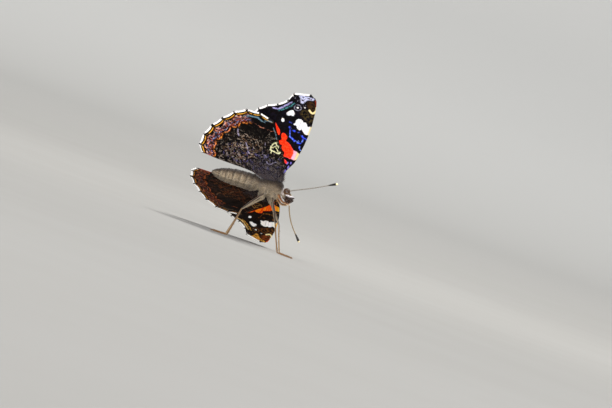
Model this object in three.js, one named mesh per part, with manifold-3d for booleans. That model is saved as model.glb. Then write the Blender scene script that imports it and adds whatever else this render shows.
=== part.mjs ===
// A red admiral butterfly, life size, standing on its own legs and leaning to its left.
// Millimetres. +X is forward, towards the head, +Y is to its left, +Z is up, and the floor is at Z = 0.
// Lengths are in the body's own frame (forward, left, dorsal) from the point between the forewing hinges,
// until the body group leans the whole insect over its feet.
import * as THREE from "three";
import { mergeVertices } from "three/addons/utils/BufferGeometryUtils.js";
import Module from "manifold-3d";

const wasm = await Module();
wasm.setup();

const DEGREE = Math.PI / 180;

// Stance
const BODY_HEIGHT = 16.0; // the point between the forewing hinges, above the floor
const LEAN = 41 * DEGREE; // the left side hangs lower
const WING_RAISE = 12 * DEGREE; // each wing above the body's own level

const GAP = 0.25; // between neighbours that touch in life

// Body stations along the body, forward positive
const THORAX_FRONT = 1.5;
const THORAX_BACK = -4.6;
const ABDOMEN_FRONT = THORAX_BACK - GAP;
const ABDOMEN_LENGTH = 13.1;
const ABDOMEN_RADIUS = 2.3;
const ABDOMEN_SEGMENTS = 7;
const ABDOMEN_DROOP = 1.3; // the tip below the body's axis
const HEAD_AT = 2.8;
const HEAD_RADII = { along: 1.2, across: 1.05, up: 1.25 };
const EYE_RADII = { along: 0.95, across: 0.85, up: 1.05 };
const EYE_AT = { along: HEAD_AT + 0.1, across: 1.0, up: 0.05 };

// Wings
const HINGE = { across: 2.1, up: 1.5 };
const MEMBRANE = 0.5;
const VEIN_RISE = 0.22; // a vein's crest above the membrane
const VEIN_FLUSH = 0.06; // the same, on the faces with which the two wings of a side lie together
const VEIN_FOOT = 0.42; // from a vein's crest to the foot of its ridge
const WING_CAMBER = 0.5;
const WING_SPAN = 30.9;
const HINDWING_DROP = 0.95; // the hindwing lies under the forewing

// Legs
const MIDDLE_LEG = { femur: 7.1, tibia: 7.8, tarsus: 5.0 };
const HIND_LEG = { femur: 7.3, tibia: 8.1, tarsus: 5.3 };
const TARSUS_THICK = 0.62;
const TARSUS_WIDE = 0.64;
const TARSOMERES = 5;

const COLOURS = {
  coat: 0x2b2019,
  abdomen: 0x2e2621,
  eye: 0x33200f,
  palp: 0x8d8177,
  feeler: 0x2a2724,
  proboscis: 0x3a1d0c,
  leg: 0x6f5233,
  forewing: 0x1a1517,
  hindwing: 0x241b17,
};

function material(color, roughness) {
  return new THREE.MeshStandardMaterial({ color, roughness, metalness: 0 });
}

// Helpers for closed surfaces

function signedVolume(geometry) {
  const place = geometry.attributes.position;
  const a = new THREE.Vector3();
  const b = new THREE.Vector3();
  const c = new THREE.Vector3();
  let sum = 0;
  for (let i = 0; i < geometry.index.count; i += 3) {
    a.fromBufferAttribute(place, geometry.index.getX(i));
    b.fromBufferAttribute(place, geometry.index.getX(i + 1));
    c.fromBufferAttribute(place, geometry.index.getX(i + 2));
    sum += a.dot(b.cross(c)) / 6;
  }
  return sum;
}

// Merges shared vertices, drops faces without area and turns the faces outwards.
function closed(geometry) {
  const bare = new THREE.BufferGeometry();
  bare.setAttribute("position", geometry.getAttribute("position"));
  if (geometry.index) bare.setIndex(geometry.index);
  const merged = mergeVertices(bare, 1e-4);
  const index = [];
  for (let i = 0; i < merged.index.count; i += 3) {
    const corners = [0, 1, 2].map((k) => merged.index.getX(i + k));
    if (new Set(corners).size === 3) index.push(...corners);
  }
  merged.setIndex(index);
  if (signedVolume(merged) < 0) {
    for (let i = 0; i < index.length; i += 3) {
      [index[i + 1], index[i + 2]] = [index[i + 2], index[i + 1]];
    }
    merged.setIndex(index);
  }
  return merged;
}

function solidOf(geometry) {
  const skin = closed(geometry);
  const vertProperties = new Float32Array(skin.attributes.position.array);
  const triVerts = new Uint32Array(skin.index.array);
  return new wasm.Manifold(new wasm.Mesh({ numProp: 3, vertProperties, triVerts }));
}

// The largest closed surface of a solid, as a geometry.
function geometryOf(solid) {
  const [largest] = solid.decompose().sort((a, b) => b.volume() - a.volume());
  const mesh = largest.getMesh();
  const geometry = new THREE.BufferGeometry();
  geometry.setAttribute("position", new THREE.BufferAttribute(mesh.vertProperties, 3));
  geometry.setIndex(new THREE.BufferAttribute(mesh.triVerts, 1));
  return geometry;
}

function cutClear(geometry, ...neighbours) {
  let solid = solidOf(geometry);
  for (const neighbour of neighbours) solid = solid.subtract(solidOf(neighbour));
  return geometryOf(solid);
}

// A skin through rings across the forward axis, flat where it ends.
// ring = { at, across, up, lift }: its place, half width, half height and its centre's height.
function loft(rings, sides, grow = 0) {
  const last = rings.length - 1;
  const profile = rings.map((ring, i) => new THREE.Vector2(1, i));
  const skin = new THREE.LatheGeometry(
    [new THREE.Vector2(0, 0), ...profile, new THREE.Vector2(0, last)],
    sides,
  );
  const place = skin.attributes.position;
  for (let i = 0; i < place.count; i++) {
    const row = Math.round(place.getY(i));
    const ring = rings[row];
    const outwards = Math.sign(rings[last].at - rings[0].at);
    const ends = row === 0 ? -outwards : row === last ? outwards : 0;
    place.setXYZ(
      i,
      ring.at + ends * grow,
      place.getX(i) * (ring.across + grow),
      place.getZ(i) * (ring.up + grow) + (ring.lift ?? 0),
    );
  }
  return skin;
}

// An ellipsoid as a loft, cut flat where from or to is inside its ends (-1 to 1).
function egg(centre, radii, { from = -1, to = 1, rings = 9, sides = 16, grow = 0 } = {}) {
  const steps = [];
  for (let i = 0; i < rings; i++) {
    const angle = THREE.MathUtils.lerp(Math.asin(from), Math.asin(to), i / (rings - 1));
    const round = Math.max(Math.cos(angle), 0.02);
    steps.push({
      at: centre.along + radii.along * Math.sin(angle),
      across: radii.across * round,
      up: radii.up * round,
      lift: centre.up ?? 0,
    });
  }
  const skin = loft(steps, sides, grow);
  skin.translate(0, centre.across ?? 0, 0);
  return skin;
}

// A round limb along a smooth curve. radii = [[share of the length, radius], ...]
function limb(points, radii, { sides = 8, steps = 10 } = {}) {
  const curve = new THREE.CatmullRomCurve3(points, false, "centripetal");
  const profile = [new THREE.Vector2(0, 0)];
  for (let i = 0; i <= steps; i++) profile.push(new THREE.Vector2(1, i));
  profile.push(new THREE.Vector2(0, steps));
  const skin = new THREE.LatheGeometry(profile, sides);
  const frames = curve.computeFrenetFrames(steps, false);
  const place = skin.attributes.position;
  const point = new THREE.Vector3();
  for (let i = 0; i < place.count; i++) {
    const step = Math.round(place.getY(i));
    const radius = along(radii, step / steps);
    point
      .copy(curve.getPointAt(step / steps))
      .addScaledVector(frames.normals[step], place.getX(i) * radius)
      .addScaledVector(frames.binormals[step], place.getZ(i) * radius);
    place.setXYZ(i, point.x, point.y, point.z);
  }
  return skin;
}

// A value between the stations of a list such as [[0, 1.2], [1, 0.4]].
function along(stations, at) {
  let i = 1;
  while (i < stations.length - 1 && stations[i][0] < at) i++;
  const [[x0, y0], [x1, y1]] = [stations[i - 1], stations[i]];
  return y0 + ((y1 - y0) * (at - x0)) / (x1 - x0);
}

const v = (x, y, z) => new THREE.Vector3(x, y, z);

// The body and the whole part

const part = new THREE.Group();
const body = new THREE.Group();
body.position.set(0, 0, BODY_HEIGHT);
body.rotation.x = -LEAN;
body.updateMatrix();
part.add(body);
const bodyFrame = body.matrix.clone();

function add(parent, name, geometry, colour, roughness = 0.8) {
  const mesh = new THREE.Mesh(closed(geometry), material(colour, roughness));
  mesh.name = name;
  parent.add(mesh);
}

const SIDES = [
  { name: "l", sign: 1 },
  { name: "r", sign: -1 },
];

// Thorax: a deep barrel, widest at the wing hinges
function thoraxSkin(grow = 0) {
  return loft(
    [
      { at: THORAX_FRONT, across: 1.25, up: 1.3, lift: 0.1 },
      { at: 1.1, across: 1.9, up: 2.1, lift: 0.1 },
      { at: 0.45, across: 2.3, up: 2.65, lift: 0.05 },
      { at: -0.6, across: 2.5, up: 2.95, lift: 0 },
      { at: -2.0, across: 2.45, up: 2.8, lift: 0 },
      { at: -3.4, across: 2.15, up: 2.35, lift: 0.05 },
      { at: THORAX_BACK, across: 1.6, up: 1.7, lift: 0.05 },
    ],
    18,
    grow,
  );
}

// Abdomen: seven rings that narrow at each seam, and a blunt tip
function abdomenSkin(grow = 0) {
  const outline = [
    [0, 0.66],
    [0.12, 0.9],
    [0.32, 1],
    [0.55, 0.97],
    [0.78, 0.78],
    [0.93, 0.48],
    [1, 0.2],
  ];
  const rings = [];
  const ring = (share, pinch) => {
    const radius = ABDOMEN_RADIUS * along(outline, share) * pinch;
    rings.push({
      at: ABDOMEN_FRONT - ABDOMEN_LENGTH * share,
      across: radius,
      up: radius * 1.04,
      lift: -ABDOMEN_DROOP * share ** 1.5,
    });
  };
  for (let i = 0; i < ABDOMEN_SEGMENTS; i++) {
    ring(i / ABDOMEN_SEGMENTS, 0.94);
    ring((i + 0.35) / ABDOMEN_SEGMENTS, 1);
    ring((i + 0.8) / ABDOMEN_SEGMENTS, 1.02);
  }
  ring(1, 1);
  return loft(rings, 14, grow);
}

function headSkin(grow = 0) {
  return egg({ along: HEAD_AT }, HEAD_RADII, { from: -0.88, grow });
}

// The coxae, which carry the walking legs, are one piece with the thorax.
const HIP_ACROSS = 1.05;
const HIPS = {
  midleg: { along: -0.2, up: -4.0 },
  hindleg: { along: -2.9, up: -3.7 },
};
const COXA_TOP = { back: 0.5, across: 0.75, up: -1.6 };

function coxa(hip, sign, grow = 0) {
  const top = v(hip.along - COXA_TOP.back, sign * COXA_TOP.across, COXA_TOP.up);
  const end = v(hip.along, sign * HIP_ACROSS, hip.up);
  const fat = [
    [0, 0.8 + grow],
    [0.5, 0.86 + grow],
    [0.85, 0.62 + grow],
    [1, 0.42 + grow],
  ];
  return limb([top, top.clone().lerp(end, 0.5), end], fat, { steps: 7 });
}

const coxae = (grow) =>
  Object.values(HIPS).flatMap((hip) => SIDES.map(({ sign }) => coxa(hip, sign, grow)));

function thoraxWithCoxae() {
  let solid = solidOf(thoraxSkin());
  for (const each of coxae(0)) solid = solid.add(solidOf(each));
  return geometryOf(solid);
}

add(body, "thorax", thoraxWithCoxae(), COLOURS.coat);
add(body, "abdomen", abdomenSkin(), COLOURS.abdomen);
add(body, "head", headSkin(), COLOURS.coat);

const thoraxClear = thoraxSkin(GAP);
const coxaeClear = coxae(GAP);
const abdomenClear = abdomenSkin(GAP);
const headClear = headSkin(GAP);

// Head: an eye and a palp on each side, and a coiled proboscis

function eyeSkin(sign, grow = 0) {
  const centre = { ...EYE_AT, across: sign * EYE_AT.across };
  return egg(centre, EYE_RADII, { rings: 9, sides: 14, grow });
}

const eyesClear = SIDES.map(({ sign }) => eyeSkin(sign, GAP));

function palp(sign) {
  const path = [v(3.0, sign * 0.7, -1.2), v(4.0, sign * 0.88, -1.4), v(5.3, sign * 0.62, -0.85)];
  const fat = [
    [0, 0.32],
    [0.3, 0.44],
    [0.75, 0.38],
    [1, 0.14],
  ];
  return limb(path, fat, { sides: 8, steps: 7 });
}

// from is where the coil begins, in turns above its front
const COIL = { along: 3.8, up: -2.45, outer: 0.95, inner: 0.28, from: 0.32, turns: 1.1, radius: 0.25 };

// The proboscis leaves the head's underside and rolls up forwards, under and back.
function proboscis() {
  const path = [v(HEAD_AT + 0.15, 0, -HEAD_RADII.up + 0.1)];
  const points = 14;
  for (let i = 0; i <= points; i++) {
    const share = i / points;
    const turn = (COIL.from - share * COIL.turns) * 2 * Math.PI;
    const reach = THREE.MathUtils.lerp(COIL.outer, COIL.inner, share);
    path.push(v(COIL.along + reach * Math.cos(turn), 0, COIL.up + reach * Math.sin(turn)));
  }
  const fat = [
    [0, COIL.radius],
    [1, COIL.radius * 0.9],
  ];
  return limb(path, fat, { sides: 6, steps: 26 });
}

// Antenna: a thin shaft that ends in a club. ANTENNA holds points from its root, in the part's frame.
const ANTENNA_ROOT = { along: 3.4, across: 0.42, up: 1.0 };
const ANTENNA = {
  l: [v(0.8, 0.45, -0.25), v(1.35, 1.6, -3.1), v(3.4, 3.7, -7.3), v(7.35, 6.1, -11.8)],
  r: [v(1.0, -0.3, 0.55), v(5.65, -4.0, 2.85), v(11.9, -7.4, 6.35)],
};

function antenna({ name, sign }) {
  const root = v(ANTENNA_ROOT.along, sign * ANTENNA_ROOT.across, ANTENNA_ROOT.up);
  root.applyMatrix4(bodyFrame);
  const path = [root, ...ANTENNA[name].map((reach) => root.clone().add(reach))];
  const fat = [
    [0, 0.26],
    [0.8, 0.25],
    [0.88, 0.36],
    [0.95, 0.42],
    [1, 0.16],
  ];
  return limb(path, fat, { sides: 7, steps: 16 });
}

const inPart = (geometry) => geometry.clone().applyMatrix4(bodyFrame);

for (const side of SIDES) {
  const eye = cutClear(eyeSkin(side.sign), headClear, thoraxClear);
  add(body, "eye_" + side.name, eye, COLOURS.eye, 0.3);
  add(body, "palp_" + side.name, cutClear(palp(side.sign), headClear, ...eyesClear), COLOURS.palp);
  const feeler = cutClear(antenna(side), ...[headClear, ...eyesClear].map(inPart));
  add(part, "antenna_" + side.name, feeler, COLOURS.feeler, 0.6);
}
add(body, "proboscis", cutClear(proboscis(), headClear), COLOURS.proboscis, 0.4);

// Wings. A point of a wing is [forward, outward] from the hinge.
// Each vein is five points from the root to the margin, costa first, and starts as a ridge at `from`.
const FOREWING = {
  drop: 0,
  rise: { upper: VEIN_RISE, lower: VEIN_FLUSH },
  cell: ["radial", "cubital"],
  veins: {
    costa: { path: [[0.6, 0], [0.8, 4.0], [2.2, 7.6], [2.75, 11.0], [3.15, 14.2]], scallop: 0 },
    subcosta: { path: [[0.4, 0], [0.5, 4.4], [1.7, 8.6], [2.5, 12.8], [3.35, 17.4]], scallop: 0 },
    radius_1: { path: [[0.22, 0], [0.15, 5.0], [1.15, 10.0], [2.05, 15.0], [3.4, 20.6]], scallop: 0 },
    radius_3: {
      path: [[0.05, 0], [-0.15, 5.4], [0.75, 11.2], [1.75, 17.4], [3.05, 25.4]],
      from: 0.5,
      scallop: -0.25,
    },
    radial: { path: [[-0.1, 0], [-0.5, 5.6], [0.3, 12.0], [1.0, 19.5], [2.35, 29.2]], scallop: -0.3 },
    radius_5: {
      path: [[-0.25, 0], [-0.8, 5.7], [-0.15, 12.4], [0.2, 20.4], [0.5, 30.9]],
      from: 0.7,
      scallop: 0,
    },
    media_1: {
      path: [[-0.45, 0], [-1.15, 5.8], [-0.8, 12.7], [-1.7, 20.6], [-4.1, 29.45]],
      from: 0.5,
      scallop: 0.25,
    },
    media_2: {
      path: [[-0.7, 0], [-1.6, 5.9], [-1.9, 12.8], [-3.4, 19.8], [-5.0, 26.6]],
      from: 0.5,
      scallop: 0.35,
    },
    media_3: {
      path: [[-0.95, 0], [-2.1, 5.9], [-3.1, 12.5], [-5.1, 18.6], [-7.3, 24.2]],
      from: 0.5,
      scallop: 0.35,
    },
    cubital: { path: [[-1.2, 0], [-2.6, 5.8], [-4.3, 12.0], [-6.9, 17.4], [-9.8, 22.8]], scallop: 0.4 },
    cubitus_2: {
      path: [[-1.5, 0], [-3.1, 5.3], [-5.7, 9.9], [-8.7, 15.2], [-11.9, 20.7]],
      from: 0.3,
      scallop: 0.35,
    },
    anal: { path: [[-1.9, 0], [-4.3, 4.3], [-7.3, 8.3], [-10.2, 12.6], [-13.1, 17.6]], scallop: 0 },
    inner: { path: [[-2.3, 0], [-5.3, 3.6], [-8.7, 7.5], [-11.6, 11.6], [-13.5, 15.7]] },
  },
};

const HINDWING = {
  drop: HINDWING_DROP,
  rise: { upper: VEIN_FLUSH, lower: VEIN_RISE },
  cell: ["radial", "cubital"],
  veins: {
    costa: { path: [[-1.3, 0], [0.3, 4.2], [-1.0, 8.6], [-3.2, 12.2], [-5.4, 16.0]], scallop: -0.2 },
    subcosta: { path: [[-1.65, 0], [-1.0, 4.6], [-2.6, 9.6], [-4.8, 14.4], [-7.1, 19.0]], scallop: 0.3 },
    radial: { path: [[-2.0, 0], [-2.6, 5.0], [-5.0, 10.0], [-7.9, 15.2], [-11.0, 20.0]], scallop: 0.45 },
    media_1: {
      path: [[-2.35, 0], [-3.8, 5.2], [-7.2, 9.8], [-10.8, 14.6], [-14.7, 19.6]],
      from: 0.5,
      scallop: 0.45,
    },
    media_2: {
      path: [[-2.7, 0], [-5.0, 5.0], [-9.0, 9.0], [-13.2, 13.2], [-17.8, 17.4]],
      from: 0.5,
      scallop: 0.45,
    },
    media_3: {
      path: [[-3.05, 0], [-6.1, 4.6], [-10.7, 8.0], [-15.2, 11.1], [-20.3, 14.2]],
      from: 0.5,
      scallop: 0.45,
    },
    cubital: { path: [[-3.4, 0], [-6.9, 4.0], [-11.8, 6.7], [-16.8, 8.8], [-22.4, 10.8]], scallop: 0.45 },
    cubitus_2: {
      path: [[-3.75, 0], [-7.4, 3.2], [-12.6, 5.1], [-17.9, 6.3], [-23.8, 7.1]],
      from: 0.3,
      scallop: 0.4,
    },
    anal: { path: [[-4.1, 0], [-7.8, 2.2], [-13.0, 3.0], [-18.2, 3.4], [-24.0, 3.5]], scallop: 0.1 },
    inner: { path: [[-4.5, 0], [-8.2, 0.9], [-13.4, 1.0], [-18.2, 1.0], [-22.6, 1.3]] },
  },
};

const WING_ROWS = [0, 0.1, 0.2, 0.32, 0.44, 0.48, 0.52, 0.56, 0.68, 0.8, 0.91, 1];
const CELL_END = 0.52; // the row of the cross vein that closes the cell
const CELL_VEIN = 0.7; // its rise, as a share of a main vein's

// The membrane bows a little towards the back of the insect between root and tip.
function camber(outward) {
  return WING_CAMBER * Math.sin(Math.PI * THREE.MathUtils.clamp(outward / WING_SPAN, 0, 1));
}

// One wing as a thin closed vane. Both faces share one grid, which follows the veins.
function wing({ veins, drop, cell, rise }, sign) {
  const names = Object.keys(veins);
  const lines = names.map((name) => {
    const points = veins[name].path.map(([forward, outward]) => v(forward, outward, 0));
    return new THREE.CatmullRomCurve3(points, false, "centripetal");
  });
  const cellFrom = names.indexOf(cell[0]);
  const cellTo = names.indexOf(cell[1]);
  const standsUp = (k, row) => row >= (veins[names[k]].from ?? 0);

  // Every row has the same columns: each vein's crest, the feet of its ridge and one line between.
  // vein is a share of the full rise.
  const grid = WING_ROWS.map((row) => {
    const columns = [];
    names.forEach((name, k) => {
      const here = lines[k].getPoint(row);
      const inCell = row === CELL_END && k >= cellFrom && k <= cellTo;
      columns.push({ point: here, vein: standsUp(k, row) ? 1 : inCell ? CELL_VEIN : 0 });
      if (k === names.length - 1) return;
      const next = lines[k + 1].getPoint(row);
      const foot = Math.min(0.3, VEIN_FOOT / here.distanceTo(next));
      for (const share of [foot, 0.5, 1 - foot]) {
        const point = here.clone().lerp(next, share);
        const inwards = veins[name].scallop * 4 * share * (1 - share);
        const edge = THREE.MathUtils.smoothstep(row, 0.8, 1);
        point.addScaledVector(point.clone().normalize(), -inwards * edge);
        const across = row === CELL_END && k >= cellFrom && k < cellTo;
        columns.push({ point, vein: across ? CELL_VEIN : 0 });
      }
    });
    return columns;
  });

  const width = grid[0].length;
  const positions = [];
  for (const [face, crest] of [
    [1, rise.upper],
    [-1, rise.lower],
  ]) {
    for (const row of grid) {
      for (const { point, vein } of row) {
        const height = camber(point.y) - drop + face * (MEMBRANE / 2 + crest * vein);
        positions.push(point.x, sign * point.y, height);
      }
    }
  }
  const lower = grid.length * width;
  const at = (i, j) => i * width + j;
  const index = [];
  const quad = (a, b, c, d) => index.push(a, b, c, a, c, d);
  for (let i = 0; i < grid.length - 1; i++) {
    for (let j = 0; j < width - 1; j++) {
      const [a, b, c, d] = [at(i, j), at(i + 1, j), at(i + 1, j + 1), at(i, j + 1)];
      quad(a, b, c, d);
      index.push(lower + a, lower + c, lower + b, lower + a, lower + d, lower + c);
    }
  }
  const rim = [];
  for (let j = 0; j < width - 1; j++) rim.push(at(0, j));
  for (let i = 0; i < grid.length - 1; i++) rim.push(at(i, width - 1));
  for (let j = width - 1; j > 0; j--) rim.push(at(grid.length - 1, j));
  for (let i = grid.length - 1; i > 0; i--) rim.push(at(i, 0));
  rim.forEach((from, i) => {
    const to = rim[(i + 1) % rim.length];
    quad(from, to, lower + to, lower + from);
  });
  const geometry = new THREE.BufferGeometry();
  geometry.setAttribute("position", new THREE.Float32BufferAttribute(positions, 3));
  geometry.setIndex(index);
  geometry.rotateX(sign * WING_RAISE);
  geometry.translate(0, sign * HINGE.across, HINGE.up);
  return cutClear(geometry, thoraxClear, abdomenClear);
}

for (const { name, sign } of SIDES) {
  add(body, "forewing_" + name, wing(FOREWING, sign), COLOURS.forewing, 0.75);
  add(body, "hindwing_" + name, wing(HINDWING, sign), COLOURS.hindwing, 0.75);
}

// Forelegs: small brushes held forward under the head
const FORELEG_HIP = { along: 0.85, across: 0.75, up: -1.7 };
const FORELEG_REACH = { l: v(3.25, 1.1, -1.0), r: v(3.85, -1.35, -1.6) };

for (const { name, sign } of SIDES) {
  const hip = v(FORELEG_HIP.along, sign * FORELEG_HIP.across, FORELEG_HIP.up).applyMatrix4(bodyFrame);
  const tip = hip.clone().add(FORELEG_REACH[name]);
  const knee = hip.clone().lerp(tip, 0.5).add(v(0, 0, -0.7));
  const fat = [
    [0, 0.42],
    [0.5, 0.36],
    [0.9, 0.3],
    [1, 0.16],
  ];
  const leg = limb([hip, knee, tip], fat, { sides: 7, steps: 7 });
  const clear = [thoraxClear, headClear, ...coxaeClear].map(inPart);
  add(part, "foreleg_" + name, cutClear(leg, ...clear), COLOURS.leg);
}

// Walking legs: femur, tibia, and a tarsus flat on the floor
const LEGS = [
  { name: "midleg", sizes: MIDDLE_LEG, ankle: { l: [6.5, 3.2], r: [6.0, -6.0] } },
  { name: "hindleg", sizes: HIND_LEG, ankle: { l: [-9.0, 3.8], r: [-8.4, -6.0] } },
];

// The knee bends outwards and up, where the femur's and the tibia's lengths meet.
function kneeOf(hip, ankle, femur, tibia) {
  const line = ankle.clone().sub(hip);
  const span = line.length();
  const share = (femur ** 2 - tibia ** 2 + span ** 2) / (2 * span);
  const rise = Math.sqrt(Math.max(femur ** 2 - share ** 2, 0.04));
  const outwards = v(line.x, line.y, 0).normalize();
  outwards.z = 0.6;
  line.normalize();
  outwards.addScaledVector(line, -outwards.dot(line)).normalize();
  return hip.clone().addScaledVector(line, share).addScaledVector(outwards, rise);
}

// A bar of five short joints with a flat sole at Z = 0, from heel along a heading.
function tarsus(length) {
  const outline = new THREE.Shape();
  outline.moveTo(-0.3, 0);
  outline.lineTo(length, 0);
  outline.lineTo(length, TARSUS_THICK * 0.35);
  for (let i = TARSOMERES; i > 0; i--) {
    const fore = (length * i) / TARSOMERES;
    const back = (length * (i - 1)) / TARSOMERES;
    const thick = TARSUS_THICK * (0.72 + (0.28 * (TARSOMERES - i)) / TARSOMERES);
    outline.lineTo(fore - length * 0.04, thick);
    outline.lineTo(back + length * 0.03, thick * 0.82);
  }
  outline.lineTo(-0.3, TARSUS_THICK);
  const bar = new THREE.ExtrudeGeometry(outline, { depth: TARSUS_WIDE, bevelEnabled: false });
  bar.translate(0, 0, -TARSUS_WIDE / 2);
  bar.rotateX(Math.PI / 2);
  return bar;
}

for (const { name, sizes, ankle } of LEGS) {
  const hip = HIPS[name];
  for (const side of SIDES) {
    const root = v(hip.along, side.sign * HIP_ACROSS, hip.up).applyMatrix4(bodyFrame);
    const [x, y] = ankle[side.name];
    const foot = v(x, y, TARSUS_THICK / 2);
    const knee = kneeOf(root, foot, sizes.femur, sizes.tibia);
    const thigh = knee.clone().sub(root).normalize();
    const shin = foot.clone().sub(knee).normalize();

    const femurEnd = knee.clone().addScaledVector(thigh, -GAP / 2);
    const femurStart = root.clone().addScaledVector(thigh, GAP);
    const femurFat = [
      [0, 0.4],
      [0.12, 0.44],
      [0.2, 0.34],
      [0.5, 0.43],
      [0.93, 0.32],
      [1, 0.22],
    ];
    const femurPath = [femurStart, femurStart.clone().lerp(femurEnd, 0.5), femurEnd];
    const femur = limb(femurPath, femurFat, { steps: 9 });
    const label = name + "_" + side.name;
    const clear = [thoraxClear, ...coxaeClear].map(inPart);
    add(part, label + "_femur", cutClear(femur, ...clear), COLOURS.leg);

    const tibiaStart = knee.clone().addScaledVector(shin, GAP);
    const tibiaEnd = foot.clone().addScaledVector(shin, -(TARSUS_THICK / 2 + GAP) / -shin.z);
    const tibiaFat = [
      [0, 0.2],
      [0.06, 0.3],
      [0.5, 0.29],
      [0.94, 0.31],
      [1, 0.24],
    ];
    const tibia = limb([tibiaStart, tibiaStart.clone().lerp(tibiaEnd, 0.5), tibiaEnd], tibiaFat);
    add(part, label + "_tibia", tibia, COLOURS.leg);

    const sole = tarsus(sizes.tarsus);
    sole.rotateZ(Math.atan2(foot.y - root.y, foot.x - root.x));
    sole.translate(foot.x, foot.y, 0);
    add(part, label + "_tarsus", sole, COLOURS.leg);
  }
}

// The origin is on the floor, under the middle of the whole insect.
part.updateMatrixWorld(true);
const box = new THREE.Box3().setFromObject(part, true);
const middle = box.getCenter(new THREE.Vector3());
part.position.set(-middle.x, -middle.y, -box.min.z);

export default part;
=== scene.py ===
import functools
import math

import bpy
import numpy as np
from mathutils import Matrix, Vector


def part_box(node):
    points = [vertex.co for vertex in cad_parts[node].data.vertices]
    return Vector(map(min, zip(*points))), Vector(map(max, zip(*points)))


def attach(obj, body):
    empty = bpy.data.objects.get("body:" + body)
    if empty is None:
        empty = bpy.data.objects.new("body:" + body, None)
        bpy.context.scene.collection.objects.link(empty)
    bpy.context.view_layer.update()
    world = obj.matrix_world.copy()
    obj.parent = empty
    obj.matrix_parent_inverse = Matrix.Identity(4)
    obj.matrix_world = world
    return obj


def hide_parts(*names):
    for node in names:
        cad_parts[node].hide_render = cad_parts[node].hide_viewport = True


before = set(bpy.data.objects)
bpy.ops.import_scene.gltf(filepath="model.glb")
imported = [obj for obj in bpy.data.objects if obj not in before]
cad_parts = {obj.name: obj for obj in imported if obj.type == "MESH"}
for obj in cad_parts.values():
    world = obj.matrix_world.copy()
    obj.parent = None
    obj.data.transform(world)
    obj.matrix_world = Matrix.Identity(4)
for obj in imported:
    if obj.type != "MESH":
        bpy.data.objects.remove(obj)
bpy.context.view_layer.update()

# A red admiral in life size. Shapes are drawn in millimetres in the body's own frame, forward, left and
# dorsal from the point between the forewing hinges, and placed in the part's frame in metres.

MM = 0.001
THORAX_FRONT = 1.5
LEAN = math.radians(41)
WING_RAISE = math.radians(12)
HINGE_ACROSS = 2.1
HINGE_UP = 1.5
WING_SPAN = 30.9
WING_CAMBER = 0.5
HINDWING_DROP = 0.82  # the hindwing lies under the forewing

head_low, head_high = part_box("head")
ORIGIN = np.array(
    [
        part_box("thorax")[1].x - THORAX_FRONT * MM,
        (head_low.y + head_high.y) / 2,
        (head_low.z + head_high.z) / 2,
    ]
)
BODY_AXES = np.array(
    [
        [1.0, 0.0, 0.0],  # forward
        [0.0, math.cos(LEAN), -math.sin(LEAN)],  # left
        [0.0, math.sin(LEAN), math.cos(LEAN)],  # dorsal
    ]
)
SIDES = {"l": 1, "r": -1}


def body_to_part(points):
    """Millimetres in the body's frame, as rows, to metres in the part's frame."""
    return ORIGIN + np.asarray(points, float) @ BODY_AXES * MM


# Materials


def rgb(code):
    """A linear colour from its usual six hex digits."""
    parts = [int(code[i : i + 2], 16) / 255 for i in (0, 2, 4)]
    return tuple(p / 12.92 if p <= 0.04045 else ((p + 0.055) / 1.055) ** 2.4 for p in parts)


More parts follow.
